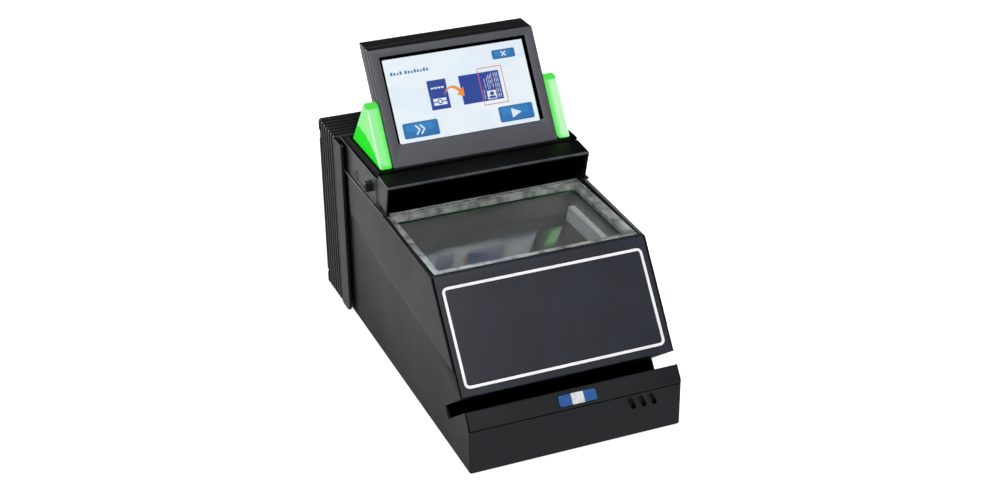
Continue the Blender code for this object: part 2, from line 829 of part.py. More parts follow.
def guide_outline(width):
    """Outer and inner outline of the guide line, for a line of this width."""
    middle = GUIDE_LINE / 2
    outer = width / 2
    loops = []
    for offset in (outer, -outer):
        half = GUIDE_HALF_WIDTH - middle + offset
        start = GUIDE_START + middle - offset
        end = GUIDE_END - middle + offset
        radius = GUIDE_CORNER - middle + offset
        loops.append(rounded(rectangle(half, start, end), radius))
    return loops


def build_front_cover():
    end = CHANNEL_START - GAP
    outline = [
        slope_point(0, 0),
        slope_point(end, 0),
        slope_point(end, PLATE),
        slope_at_height(RIDGE_HEIGHT, PLATE),
    ]
    outline = rounded(outline, [0, PLATE_EDGE, 0, 0], 2)
    mesh = prism(outline, -PLATE_HALF_WIDTH, PLATE_HALF_WIDTH, side_place)
    cover = make("front_cover", mesh, FINISHES["plate"])
    outer, inner = guide_outline(GUIDE_LINE + 2 * GAP)
    change(cover, ring_prism(outer, inner, (-OVERRUN, GUIDE_DEPTH + GAP), slope_place))
    outer, inner = guide_outline(GUIDE_LINE)
    make("guide_inlay", ring_prism(outer, inner, (0, GUIDE_DEPTH), slope_place), FINISHES["white"])


def status_outline(index):
    """One lens of three: the outer corners of the two outer ones are round."""
    pitch = STATUS_WIDTH + GAP
    middle = STATUS_X + (index - 1) * pitch
    radii = {
        0: [STATUS_CORNER, 0, 0, STATUS_CORNER],
        1: 0,
        2: [0, STATUS_CORNER, STATUS_CORNER, 0],
    }[index]
    outline = rectangle(STATUS_WIDTH / 2, STATUS_START, STATUS_START + STATUS_LENGTH, middle)
    return rounded(outline, radii)


def status_pocket():
    half = 1.5 * STATUS_WIDTH + 2 * GAP
    start = STATUS_START - GAP
    end = STATUS_START + STATUS_LENGTH + GAP
    outline = rounded(rectangle(half, start, end, STATUS_X), STATUS_CORNER + GAP)
    return prism(outline, -OVERRUN, PLATE + OVERRUN, slope_place)


def build_front_lip():
    start = CHANNEL_END + GAP
    outline = [
        slope_point(start, 0),
        at(0, FACE_TOP),
        at(0, FACE_TOP - LIP_WRAP),
        slope_at_height(FACE_TOP - LIP_WRAP, PLATE),
        slope_point(start, PLATE),
    ]
    outline = rounded(outline, [PLATE_EDGE, PLATE_EDGE, 0, 0, 0], 2)
    mesh = prism(outline, -PLATE_HALF_WIDTH, PLATE_HALF_WIDTH, side_place)
    lip = make("front_lip", mesh, FINISHES["plate"])
    change(lip, status_pocket())
    for side in (-1, 1):
        change(lip, corner_cutter(side))
    for index, (side, finish) in enumerate((("left", "blue"), ("middle", "pale"), ("right", "blue"))):
        lens = prism(status_outline(index), 0, PLATE, slope_place)
        make(f"status_lens_{side}", lens, FINISHES[finish])


def build_swipe_track():
    start = CHANNEL_START - TRACK_WALL
    end = CHANNEL_END + TRACK_WALL
    mouth = PLATE + GAP
    floor = CHANNEL_DEPTH + TRACK_WALL
    outline = [
        slope_point(start, mouth),
        slope_point(CHANNEL_START, mouth),
        slope_point(CHANNEL_START, CHANNEL_DEPTH),
        slope_point(CHANNEL_END, CHANNEL_DEPTH),
        slope_point(CHANNEL_END, mouth),
        slope_point(end, mouth),
        slope_point(end, floor),
        slope_point(start, floor),
    ]
    mesh = prism(outline, -TRACK_HALF_WIDTH, TRACK_HALF_WIDTH, side_place)
    track = make("swipe_track", mesh, FINISHES["plate"])
    middle = HEAD_START + HEAD_LENGTH / 2
    half = HEAD_WINDOW / 2
    window = [
        slope_point(start - OVERRUN, middle - half),
        slope_point(CHANNEL_START + SKIN, middle - half),
        slope_point(CHANNEL_START + SKIN, middle + half),
        slope_point(start - OVERRUN, middle + half),
    ]
    reach = HEAD_WINDOW_WIDTH / 2
    change(track, prism(window, -reach, reach, side_place))
    build_swipe_head(start, middle)


def build_swipe_head(start, middle):
    """The optical reading head behind the channel, and the glass in its window."""
    rear = start - GAP
    outline = [
        slope_point(rear - HEAD_THICKNESS, HEAD_START),
        slope_point(rear, HEAD_START),
        slope_point(rear, HEAD_START + HEAD_LENGTH),
        slope_point(rear - HEAD_THICKNESS, HEAD_START + HEAD_LENGTH),
    ]
    mesh = prism(outline, -HEAD_WIDTH / 2, HEAD_WIDTH / 2, side_place, SKIN)
    make("swipe_head", mesh, FINISHES["shell"])
    half = HEAD_WINDOW / 2 - GAP
    glass = [
        slope_point(start, middle - half),
        slope_point(start + HEAD_GLASS, middle - half),
        slope_point(start + HEAD_GLASS, middle + half),
        slope_point(start, middle + half),
    ]
    reach = HEAD_WINDOW_WIDTH / 2 - GAP
    make("swipe_window", prism(glass, -reach, reach, side_place), FINISHES["glass"])


def build_window():
    """Glass, its frame, the antenna board, the light box and the lamp bars."""
    span = (GLASS_FRONT_BACK, GLASS_REAR_BACK)
    glass_low = RIDGE_HEIGHT - GLASS_THICKNESS
    make(
        "scan_glass",
        box(GLASS_HALF_WIDTH, span, (glass_low, RIDGE_HEIGHT)),
        FINISHES["glass"],
    )
    frame_high = glass_low - GAP
    frame_low = frame_high - FRAME_THICKNESS
    frame_span = (GLASS_FRONT_BACK + SKIN, GLASS_REAR_BACK)
    make(
        "glass_frame",
        ring_plate(FRAME_HALF_WIDTH, frame_span, (frame_low, frame_high), FRAME_BORDER),
        FINISHES["silver"],
    )
    board_high = frame_low - GAP
    board_low = board_high - ANTENNA_THICKNESS
    inset = FRAME_BORDER - ANTENNA_BORDER
    board_span = (frame_span[0] + inset, frame_span[1] - inset)
    make(
        "antenna_board",
        ring_plate(
            FRAME_HALF_WIDTH - inset, board_span, (board_low, board_high), ANTENNA_BORDER
        ),
        FINISHES["board"],
    )
    build_light_box(board_span, board_low - GAP)


def build_light_box(span, top):
    """A tapering box, open at the top, with a hole for the lens in its floor."""
    middle = at((span[0] + span[1]) / 2, 0)[0]
    half_depth = (span[1] - span[0]) / 2
    half_width = FRAME_HALF_WIDTH - FRAME_BORDER
    high = top + FOOT_PROUD
    low = high - BOX_HEIGHT

    def level(taper, inset, z):
        x = half_width - taper - inset
        y = half_depth - taper - inset
        return [(-x, middle - y, z), (x, middle - y, z), (x, middle + y, z), (-x, middle + y, z)]

    floor = low + BOX_WALL
    loops = [
        level(BOX_TAPER, 0, low),
        level(0, 0, high),
        level(0, BOX_WALL, high),
        level(BOX_TAPER, BOX_WALL, floor),
    ]
    light_box = make("light_box", loft(loops), FINISHES["silver"])
    spot = (0, middle)
    hole = prism(circle(spot, LENS_HOLE_RADIUS), low - OVERRUN, floor + OVERRUN, plan_place)
    change(light_box, hole)
    bar_top = high - BAR_DROP
    for side, name in ((-1, "left"), (1, "right")):
        lean = BOX_TAPER / BOX_HEIGHT
        face = half_width - BOX_WALL - GAP - BAR_DROP * lean
        low_face = face - BAR_HEIGHT * lean
        outline = [
            (side * face, bar_top),
            (side * (face - BAR_WIDTH), bar_top),
            (side * (low_face - BAR_WIDTH), bar_top - BAR_HEIGHT),
            (side * low_face, bar_top - BAR_HEIGHT),
        ]
        reach = half_depth - BAR_MARGIN
        bar = prism(outline, middle - reach, middle + reach, front_place)
        make(f"lamp_bar_{name}", bar, FINISHES["pale"])


def build_camera():
    """Camera board on its own spacers, with the lens holder and the lens."""
    middle = at((GLASS_FRONT_BACK + GLASS_REAR_BACK) / 2, 0)[0]
    low = PLATE_FLOOR + FOOT_PROUD + GAP
    board_low = low + SPACER_HEIGHT
    half = CAMERA_BOARD_HALF
    outline = rectangle(half, middle - half, middle + half)
    inner = half - SPACER_WALL
    hollow = rectangle(inner, middle - inner, middle + inner)
    mount = ring_prism(outline, hollow, (low, board_low - GAP), plan_place)
    make("camera_mount", mount, FINISHES["shell"])
    board = prism(outline, board_low, board_low + BOARD, plan_place)
    make("camera_board", board, FINISHES["board"])
    holder_low = board_low + BOARD + GAP
    half = HOLDER_HALF
    outline = rounded(rectangle(half, middle - half, middle + half), SKIN)
    holder = prism(outline, holder_low, holder_low + HOLDER_HEIGHT, plan_place)
    make("lens_holder", holder, FINISHES["shell"])
    lens_low = holder_low + HOLDER_HEIGHT + GAP
    box_floor = (
        RIDGE_HEIGHT - GLASS_THICKNESS - FRAME_THICKNESS - ANTENNA_THICKNESS
        - 3 * GAP - BOX_HEIGHT + FOOT_PROUD
    )
    tip_high = box_floor + BOX_WALL
    tip_low = tip_high - LENS_TIP_HEIGHT
    centre = (0, middle)
    levels = [
        (LENS_RADIUS, lens_low),
        (LENS_RADIUS, tip_low - (LENS_TIP_RADIUS - LENS_RADIUS)),
        (LENS_TIP_RADIUS, tip_low),
        (LENS_TIP_RADIUS, tip_high - SKIN),
        (LENS_TIP_RADIUS - SKIN, tip_high),
    ]
    loops = [[(x, y, z) for x, y in circle(centre, radius)] for radius, z in levels]
    make("camera_lens", loft(loops), FINISHES["shell"])


def build_main_board():
    low = PLATE_FLOOR + FOOT_PROUD + GAP
    board_low = low + SPACER_HEIGHT
    front = at(BOARD_FRONT_BACK, 0)[0]
    rear = at(DEPTH - PANEL_REAR_INSET - REAR_PANEL - GAP, 0)[0]
    tray_rear = at(BASE_LENGTH, 0)[0]
    outer = rectangle(BOARD_HALF_WIDTH, front, tray_rear)
    inner = rectangle(BOARD_HALF_WIDTH - SPACER_WALL, front + SPACER_WALL, tray_rear - SPACER_WALL)
    tray = ring_prism(outer, inner, (low, board_low - GAP), plan_place)
    make("board_frame", tray, FINISHES["shell"])
    outline = rectangle(BOARD_HALF_WIDTH, front, rear)
    make(
        "main_board",
        prism(outline, board_low, board_low + BOARD, plan_place),
        FINISHES["board"],
    )


def build_speaker():
    low = SPEAKER_BOTTOM
    middle = SLOT_LAST_X - SLOT_PITCH * (SLOT_COUNT - 1) / 2
    front = FRONT_WALL + GAP
    mesh = box(
        SPEAKER_HALF_WIDTH, (front, front + SPEAKER_DEPTH), (low, low + SPEAKER_HEIGHT), middle
    )
    make("speaker", mesh, FINISHES["shell"])


def build_hood():
    """Roof, leaning cheeks and rear wall in one, open to the front and below."""
    bottom = RIDGE_HEIGHT + HOOD_CLEARANCE
    outline = [
        at(HOOD_FRONT_BACK + HOOD_LEAN, bottom),
        at(HOOD_FRONT_BACK, HOOD_FRONT_TOP),
        at(HOOD_REAR_BACK, HOOD_REAR_TOP),
        at(HOOD_REAR_BACK, bottom),
    ]
    mesh = prism(outline, -HOOD_HALF_WIDTH, HOOD_HALF_WIDTH, side_place, SHELL_EDGE)
    hood = make("hood", mesh, FINISHES["shell"])
    rear = HOOD_REAR_BACK - HOOD_WALL
    inside = [
        at(HOOD_FRONT_BACK - OVERRUN, bottom - OVERRUN),
        at(HOOD_FRONT_BACK - OVERRUN, HOOD_FRONT_TOP - HOOD_WALL),
        at(HOOD_FRONT_BACK, HOOD_FRONT_TOP - HOOD_WALL),
        at(rear, HOOD_REAR_TOP - HOOD_WALL),
        at(rear, bottom - OVERRUN),
    ]
    reach = HOOD_HALF_WIDTH - HOOD_WALL
    change(hood, prism(inside, -reach, reach, side_place))
    for side in (-1, 1):
        change(hood, skirt_foot(side * (reach + OVERRUN)))
        change(hood, cheek_foot(side))


def skirt_foot(middle):
    """What ends a cheek's skirt clear of a page on the glass."""
    span = (HOOD_FRONT_BACK - OVERRUN, HOOD_REAR_BACK + OVERRUN)
    height = (RIDGE_HEIGHT - OVERRUN, WALL_TOP - SKIRT_REACH)
    return box(OVERRUN + SKIN, span, height, middle)


def cheek_foot(side):
    """What ends a cheek above the rail, outside the skirt that hangs within the rail."""
    front = HOOD_FRONT_BACK + HOOD_LEAN
    rear = HOOD_REAR_BACK - CHEEK_REAR_STEP
    outline = [
        at(HOOD_FRONT_BACK - OVERRUN, WALL_TOP - OVERRUN),
        at(HOOD_FRONT_BACK - OVERRUN, WALL_TOP + CHEEK_FRONT_RISE),
        at(front, WALL_TOP + CHEEK_FRONT_RISE),
        at(rear, WALL_TOP + CHEEK_REAR_RISE),
        at(HOOD_REAR_BACK + OVERRUN, WALL_TOP + CHEEK_REAR_RISE),
        at(HOOD_REAR_BACK + OVERRUN, WALL_TOP - OVERRUN),
    ]
    skirt_outer = INNER_HALF_WIDTH - GAP
    return prism(outline, side * skirt_outer, side * (HOOD_HALF_WIDTH + OVERRUN), side_place)


def dock_half_outline():
    """The dock seen from the front, +X half, from the bottom edge to the deck."""
    low = WALL_TOP + GAP + DOCK_STRIP / 2
    rim_inner = DOCK_RIM_X - DOCK_RIM
    heights = [
        (DOCK_HALF_WIDTH, low),
        (DOCK_HALF_WIDTH, DOCK_SHOULDER),
        (DOCK_GROOVE_X, DOCK_SHOULDER),
        (DOCK_GROOVE_X, DOCK_RIB_BOTTOM),
        (DOCK_RIB_X, DOCK_RIB_BOTTOM),
        (DOCK_RIB_X, DOCK_RIB_TOP),
        (DOCK_GROOVE_X, DOCK_RIB_TOP),
        (DOCK_GROOVE_X, DOCK_RIM_BOTTOM),
        (DOCK_RIM_X, DOCK_RIM_BOTTOM),
        (DOCK_RIM_X, DOCK_RIM_TOP),
        (rim_inner, DOCK_RIM_TOP),
        (rim_inner, DOCK_DECK),
    ]
    return [(x, height + FOOT_PROUD) for x, height in heights]


def hinge_axis():
    """(y, z) of the axis that the display tilts about."""
    return display_point(0, BARREL_RADIUS)


def well_outline():
    """Side view of the space that the display's foot turns in."""
    axis = Vector(hinge_axis())
    radius = BARREL_RADIUS + WELL_CLEARANCE
    top = at(0, DOCK_RIM_TOP)[1] + OVERRUN
    points = [(axis.x - radius, top)]
    steps = 2 * ARC_STEPS
    for step in range(steps + 1):
        turn = math.pi + math.pi / 2 * step / steps
        points.append((axis.x + radius * math.cos(turn), axis.y + radius * math.sin(turn)))
    floor = axis.y - radius
    points.append((at(WELL_FLOOR_BACK, 0)[0], floor))
    points.append((at(WELL_REAR_BACK, 0)[0], at(0, DOCK_DECK)[1]))
    points.append((at(WELL_REAR_BACK, 0)[0], top))
    return points


def build_dock():
    """Cover that carries the display, its lights and the power button."""
    front = at(HOOD_REAR_BACK + GAP, 0)[0]
    rear = at(BASE_LENGTH, 0)[0]
    mesh = prism(mirrored(dock_half_outline()), front, rear, front_place)
    dock = make("dock_cover", mesh, FINISHES["shell"])
    reach = DOCK_HALF_WIDTH + OVERRUN
    change(
        dock,
        box(
            reach,
            (DECK_REAR_BACK, BASE_LENGTH + OVERRUN),
            (DOCK_SHOULDER, DOCK_RIM_TOP + OVERRUN),
        ),
    )
    for side in (-1, 1):
        flare = [
            (side * (DOCK_RIM_X - SKIN / 2), front - OVERRUN),
            (side * (DOCK_RIM_X - SKIN / 2), front),
            (side * DOCK_HALF_WIDTH, at(DOCK_CHAMFER_BACK, 0)[0]),
            (side * reach, at(DOCK_CHAMFER_BACK, 0)[0]),
            (side * reach, front - OVERRUN),
        ]
        low = at(0, WALL_TOP)[1] - OVERRUN
        change(dock, prism(flare, low, at(0, DOCK_RIB_BOTTOM)[1] - SKIN, plan_place))
    cavity_front = HOOD_REAR_BACK + GAP + DOCK_WALL
    low = WALL_TOP - OVERRUN
    lower = box(
        DOCK_HALF_WIDTH - DOCK_WALL,
        (cavity_front, BASE_LENGTH + OVERRUN),
        (low, DOCK_SHOULDER - DOCK_WALL),
    )
    change(dock, lower)
    upper = box(
        DOCK_GROOVE_X - DOCK_WALL,
        (cavity_front, DECK_REAR_BACK - DOCK_WALL),
        (low, DOCK_DECK - DOCK_WALL),
    )
    change(dock, upper)
    join_dock_strips(dock)
    cut_display_well(dock)
    cut_light_slots(dock)
    cut_button_hole(dock)


def join_dock_strips(dock):
    """Thin strips that lie on the base walls and run forward below the hood."""
    low = WALL_TOP + GAP
    inner = INNER_HALF_WIDTH + GAP
    half = (DOCK_STRIP_X - inner) / 2
    span = (RAIL_BACK, RIM_FRONT_BACK - GAP)
    for side in (-1, 1):
        strip = box(half, span, (low, low + DOCK_STRIP), side * (inner + half))
        change(dock, strip, "UNION")


def cut_button_hole(dock):
    half_depth = BUTTON_DEPTH / 2 + BUTTON_CLEARANCE
    half_tall = BUTTON_TALL / 2 + BUTTON_CLEARANCE
    y_low, z_low = at(BUTTON_BACK - half_depth, BUTTON_HEIGHT - half_tall)
    y_high, z_high = at(BUTTON_BACK + half_depth, BUTTON_HEIGHT + half_tall)
    outline = [(y_low, z_low), (y_high, z_low), (y_high, z_high), (y_low, z_high)]
    wall = -DOCK_HALF_WIDTH
    change(dock, prism(outline, wall - OVERRUN, wall + DOCK_WALL + SKIN, side_place))


def tub_half_width():
    return DISPLAY_HALF_WIDTH + WELL_SIDE_GAP + WELL_WALL


def cut_display_well(dock):
    """Fuses the tub below the deck, then opens the well and the hinge holes in it."""
    axis = hinge_axis()
    tub_half = tub_half_width()
    tub_low = axis[1] - FOOT_PROUD - BARREL_RADIUS - WELL_CLEARANCE - WELL_WALL
    tub = box(
        tub_half,
        (HOOD_REAR_BACK + GAP + SKIN / 2, WELL_REAR_BACK + WELL_WALL),
        (tub_low, DOCK_DECK - SKIN),
    )
    change(dock, tub, "UNION")
    well_half = DISPLAY_HALF_WIDTH + WELL_SIDE_GAP
    change(dock, prism(well_outline(), -well_half, well_half, side_place))
    for side in (-1, 1):
        outline = circle(axis, PIN_RADIUS + PIN_CLEARANCE)
        hole = prism(outline, side * (well_half - SKIN), side * (tub_half + SKIN), side_place)
        change(dock, hole)


def light_slot_span():
    return DISPLAY_FOOT_BACK + LIGHT_SLOT_START, LIGHT_REAR_BACK - LIGHT_SLOT_END


def cut_light_slots(dock):
    low = at(0, DOCK_DECK)[1] - DOCK_WALL - SKIN
    high = at(0, DOCK_DECK)[1] + SKIN
    front, rear = (at(back, 0)[0] for back in light_slot_span())
    half = (LIGHT_OUTER_X - LIGHT_INNER_X) / 2 - LIGHT_SLOT_INSET
    middle = (LIGHT_OUTER_X + LIGHT_INNER_X) / 2
    for side in (-1, 1):
        outline = rectangle(half, front, rear, side * middle)
        change(dock, prism(outline, low, high, plan_place))


def build_lights():
    """The two wedge lights and the lamp boards below them."""
    low = DOCK_DECK + GAP
    foot = display_point((low - DOCK_DECK) / math.sin(DISPLAY_ANGLE), 0)
    top = LIGHT_HEIGHT - LIGHT_CHAMFER_HEIGHT
    shoulder = display_point((top - DOCK_DECK) / math.sin(DISPLAY_ANGLE), 0)
    outline = [
        foot,
        shoulder,
        (shoulder[0] + LIGHT_CHAMFER, at(0, LIGHT_HEIGHT)[1]),
        (shoulder[0] + LIGHT_CHAMFER + LIGHT_TOP_LENGTH, at(0, LIGHT_HEIGHT)[1]),
        at(LIGHT_REAR_BACK, low),
    ]
    outline = rounded(outline, [0, SHELL_EDGE, SHELL_EDGE, SHELL_EDGE, 0], 2)
    for side, name in ((-1, "left"), (1, "right")):
        ends = sorted((side * LIGHT_INNER_X, side * LIGHT_OUTER_X))
        mesh = prism(outline, *ends, side_place, LIGHT_EDGE)
        make(f"signal_light_{name}", mesh, FINISHES["green"])
        inner = tub_half_width() + GAP
        outer = DOCK_GROOVE_X - DOCK_WALL - GAP
        middle = side * (inner + outer) / 2
        half = (outer - inner) / 2
        high = DOCK_DECK - DOCK_WALL - GAP
        board = box(half, light_slot_span(), (high - LIGHT_BOARD, high), middle)
        make(f"signal_board_{name}", board, FINISHES["board"])


def top_of(inward):
    """How far up the display its level top lies, for a line this far behind the face."""
    return DISPLAY_HEIGHT + inward / math.tan(DISPLAY_ANGLE)


def build_display(pivot):
    build_bezel(pivot)
    build_display_back(pivot)
    half = DISPLAY_HALF_WIDTH - WINDOW_SIDE + TOUCH_BORDER
    low = WINDOW_BOTTOM - TOUCH_BORDER
    high = DISPLAY_HEIGHT - WINDOW_TOP + TOUCH_BORDER
    front = LIP + GAP
    outline = rectangle(half, low, high)
    glass = prism(outline, front, front + TOUCH_GLASS, display_place)
    make("touch_glass", glass, FINISHES["glass"], parent=pivot)
    front += TOUCH_GLASS + GAP
    panel = prism(outline, front, front + PANEL_THICKNESS, display_place)
    make("lcd_panel", panel, FINISHES["screen"], parent=pivot)
    front += PANEL_THICKNESS + GAP
    margin = DISPLAY_BOARD_MARGIN
    outline = rectangle(DISPLAY_HALF_WIDTH - DISPLAY_BOARD_INSET, low + margin, high - margin)
    board = prism(outline, front, front + BOARD, display_place)
    make("display_board", board, FINISHES["board"], parent=pivot)


def build_bezel(pivot):
    outline = [
        display_point(0, 0),
        display_point(DISPLAY_HEIGHT, 0),
        display_point(top_of(BEZEL_DEPTH), BEZEL_DEPTH),
        display_point(0, BEZEL_DEPTH),
    ]
    mesh = prism(
        outline, -DISPLAY_HALF_WIDTH, DISPLAY_HALF_WIDTH, side_place, DISPLAY_EDGE
    )
    bezel = make("display_bezel", mesh, FINISHES["bezel"], parent=pivot)
    low = WINDOW_BOTTOM
    high = DISPLAY_HEIGHT - WINDOW_TOP
    half = DISPLAY_HALF_WIDTH - WINDOW_SIDE
    depth = WINDOW_CHAMFER_DEPTH
    loops = []
    for level, grow in ((-depth, 2 * WINDOW_CHAMFER), (depth, 0), (BEZEL_DEPTH, 0)):
        outline = rounded(rectangle(half + grow, low - grow, high + grow), WINDOW_CORNER + grow)
        loops.append([display_place(*point, level) for point in outline])
    change(bezel, loft(loops))
    grow = TOUCH_BORDER + GAP
    pocket = rectangle(half + grow, low - grow, high + grow)
    change(bezel, prism(pocket, LIP, BEZEL_DEPTH + OVERRUN, display_place))
    cut_hinge_bores(bezel)


def cut_hinge_bores(target):
    """The bores that turn on the two hinge pins."""
    outline = circle(hinge_axis(), PIN_RADIUS + PIN_CLEARANCE)
    deep = DISPLAY_HALF_WIDTH - PIN_REACH
    for side in (-1, 1):
        change(
            target, prism(outline, side * deep, side * (DISPLAY_HALF_WIDTH + OVERRUN), side_place)
        )


def build_display_back(pivot):
    """Rear housing: a barrel at the foot, a level top and a pocket for the electronics."""
    front = BEZEL_DEPTH + GAP
    barrel = 2 * BARREL_RADIUS
    lift = DOCK_DECK + REAR_FOOT_LIFT

    def up_at(height, inward):
        return (height - DOCK_DECK + inward * math.cos(DISPLAY_ANGLE)) / math.sin(DISPLAY_ANGLE)

    points = []
    steps = 3 * ARC_STEPS
    for step in range(steps + 1):
        turn = math.pi * step / steps
        up = -BARREL_RADIUS * math.sin(turn)
        points.append(display_point(up - GAP, BARREL_RADIUS - BARREL_RADIUS * math.cos(turn)))
    points += [
        display_point(up_at(lift, barrel), barrel),
        display_point(up_at(lift, DISPLAY_THICKNESS), DISPLAY_THICKNESS),
        display_point(top_of(DISPLAY_THICKNESS), DISPLAY_THICKNESS),
        display_point(top_of(front), front),
        display_point(-GAP, front),
    ]
    mesh = prism(points, -DISPLAY_HALF_WIDTH, DISPLAY_HALF_WIDTH, side_place, DISPLAY_EDGE)
    back = make("display_back", mesh, FINISHES["bezel"], parent=pivot)
    half = DISPLAY_HALF_WIDTH - BACK_WALL
    pocket = [
        (-half, WINDOW_BOTTOM - TOUCH_BORDER - GAP),
        (half, WINDOW_BOTTOM - TOUCH_BORDER - GAP),
        (half, DISPLAY_HEIGHT - BACK_WALL),
        (-half, DISPLAY_HEIGHT - BACK_WALL),
    ]
    change(back, prism(pocket, front - OVERRUN, DISPLAY_THICKNESS - BACK_WALL, display_place))
    cut_hinge_bores(back)


def build_hinges():
    """A steel pin on each side, held in the wall of the well."""
    outline = circle(hinge_axis(), PIN_RADIUS)
    inner = DISPLAY_HALF_WIDTH - PIN_REACH + GAP
    outer = tub_half_width() - GAP
    for side, name in ((-1, "left"), (1, "right")):
        pin = prism(outline, side * inner, side * outer, side_place, PIN_EDGE)
        make(f"hinge_pin_{name}", pin, FINISHES["steel"])


def build_power_button():
    """A square cap with a collar and a plunger, and the sprung switch behind it."""
    middle = Vector(at(BUTTON_BACK, BUTTON_HEIGHT))
    tip = -DOCK_HALF_WIDTH - BUTTON_PROUD
    inner_wall = -DOCK_HALF_WIDTH + DOCK_WALL
    slide = joint_empty("power_button_slide", (tip, middle.x, middle.y))
    half_y = BUTTON_DEPTH / 2
    half_z = BUTTON_TALL / 2
    collar_start = inner_wall + GAP
    collar_end = collar_start + BUTTON_COLLAR
    switch_start = inner_wall + GAP + SWITCH_SPACE
    plunger_end = switch_start + GAP
    edge = BUTTON_EDGE
    square = circle_square(middle, half_y, half_z)
    levels = [
        (square(-edge), tip),
        (square(0), tip + edge),
        (square(0), collar_start),
        (square(BUTTON_COLLAR), collar_start),
        (square(BUTTON_COLLAR), collar_end),
        (round_section(middle, PLUNGER_RADIUS), collar_end),
        (round_section(middle, PLUNGER_RADIUS), plunger_end),
    ]
    loops = [[(x, y, z) for y, z in outline] for outline, x in levels]
    button = make(
        "power_button", loft(loops), FINISHES["shell"],
        origin=(tip, middle.x, middle.y), parent=slide,
    )
    dimple = circle((middle.x, middle.y), BUTTON_DIMPLE_RADIUS, ROUND_SIDES // 2)
    change(button, prism(dimple, tip - OVERRUN, tip + BUTTON_DIMPLE, side_place))
    build_switch(middle, switch_start)


def circle_square(middle, half_y, half_z):
    """A function giving a rectangle as 8 points, grown by an amount."""

    def outline(grow):
        y, z = half_y + grow, half_z + grow
        places = [(1, 0), (1, 1), (0, 1), (-1, 1), (-1, 0), (-1, -1), (0, -1), (1, -1)]
        return [(middle.x + a * y, middle.y + b * z) for a, b in places]

    return outline


def round_section(middle, radius):
    return circle((middle.x, middle.y), radius, 8)


def build_switch(middle, start):
    half = SWITCH_HALF
    outline = [
        (middle.x - half, middle.y - half),
        (middle.x + half, middle.y - half),
        (middle.x + half, middle.y + half),
        (middle.x - half, middle.y + half),
    ]
    mesh = prism(outline, start, start + SWITCH_DEPTH, side_place)
    switch = make("power_switch", mesh, FINISHES["shell"])
    hole = prism(
        circle((middle.x, middle.y), PLUNGER_RADIUS + GAP),
        start - SKIN,
        start + BUTTON_TRAVEL + 2 * GAP,
        side_place,
    )
    change(switch, hole)


def sleeve_outline(inset):
    """The rear cover seen from behind, drawn in at the sides and the top."""
    half = SLEEVE_HALF_WIDTH - inset
    low, high = SLEEVE_BOTTOM + FOOT_PROUD, SLEEVE_TOP + FOOT_PROUD - inset
    return rounded(rectangle(half, low, high), SLEEVE_CORNER, 3)


def build_rear_sleeve():
    """A ring of ribs that runs round the sides and the top, with a smooth front rim."""
    start = at(BASE_LENGTH + GAP, 0)[0]
    end = at(DEPTH, 0)[0]
    pitch = (end - start) / RIB_COUNT
    groove = pitch * GROOVE_SHARE
    flank = pitch * FLANK_SHARE
    levels = []
    for index in range(RIB_COUNT):
        first = start + index * pitch
        levels += [
            (RIB_DEPTH, first),
            (RIB_DEPTH, first + groove),
            (0, first + groove + flank),
            (0, first + pitch - flank),
        ]
    levels[-1] = (0, end)
    loops = [[(x, y, z) for x, z in sleeve_outline(inset)] for inset, y in levels]
    sleeve = make("rear_sleeve", loft(loops), FINISHES["shell"])
    for side in (-1, 1):
        change(sleeve, rim_flap(side), "UNION")
    wall = RIB_DEPTH + SLEEVE_WALL
    inner = rectangle(
        SLEEVE_HALF_WIDTH - wall,
        SLEEVE_BOTTOM + FOOT_PROUD + SLEEVE_WALL,
        SLEEVE_TOP + FOOT_PROUD - wall,
    )
    change(sleeve, prism(inner, start - OVERRUN, end + OVERRUN, front_place))
    change(sleeve, joined([catch(side, *row) for side in (-1, 1) for row in catch_rows()]))


def rim_flap(side):
    """The smooth rim that laps over the base shell on one side."""
    low = SLEEVE_BOTTOM
    rear = BASE_LENGTH + GAP + SLEEVE_WALL
    outline = [
        at(RIM_FRONT_BACK, low),
        at(RIM_FRONT_BACK, RIM_TOP),
        at(rear, RIM_TOP),
        at(rear, low),
    ]
    outline = rounded(outline, [RIM_CORNER, SKIN, 0, 0])
    return prism(outline, side * RIM_INNER_X, side * SLEEVE_HALF_WIDTH, side_place)


def catch_rows():
    return ((CATCH_TOP_HEIGHT, CATCH_TOP_HALF), (CATCH_LOW_HEIGHT, CATCH_LOW_HALF))


def catch(side, height, half):
    """Small notch in the last rib."""
    middle = side * (SLEEVE_HALF_WIDTH - CATCH_DEPTH + OVERRUN)
    return box(OVERRUN, (DEPTH - CATCH_LENGTH, DEPTH + OVERRUN), (height - half, height + half), middle)


def socket_rows():
    """Name, middle, width, height, length and finish of each socket on the rear."""
    usb = (USB_WIDTH, USB_HEIGHT, USB_LENGTH)
    sizes = [
        ("power_jack", (JACK_WIDTH, JACK_HEIGHT, JACK_LENGTH)),
        ("network_socket", (LAN_WIDTH, LAN_HEIGHT, LAN_LENGTH)),
        ("usb_socket_a", usb),
        ("usb_socket_b", usb),
    ]
    return [
        (name, SOCKET_FIRST_X + index * SOCKET_PITCH, *size)
        for index, (name, size) in enumerate(sizes)
    ]


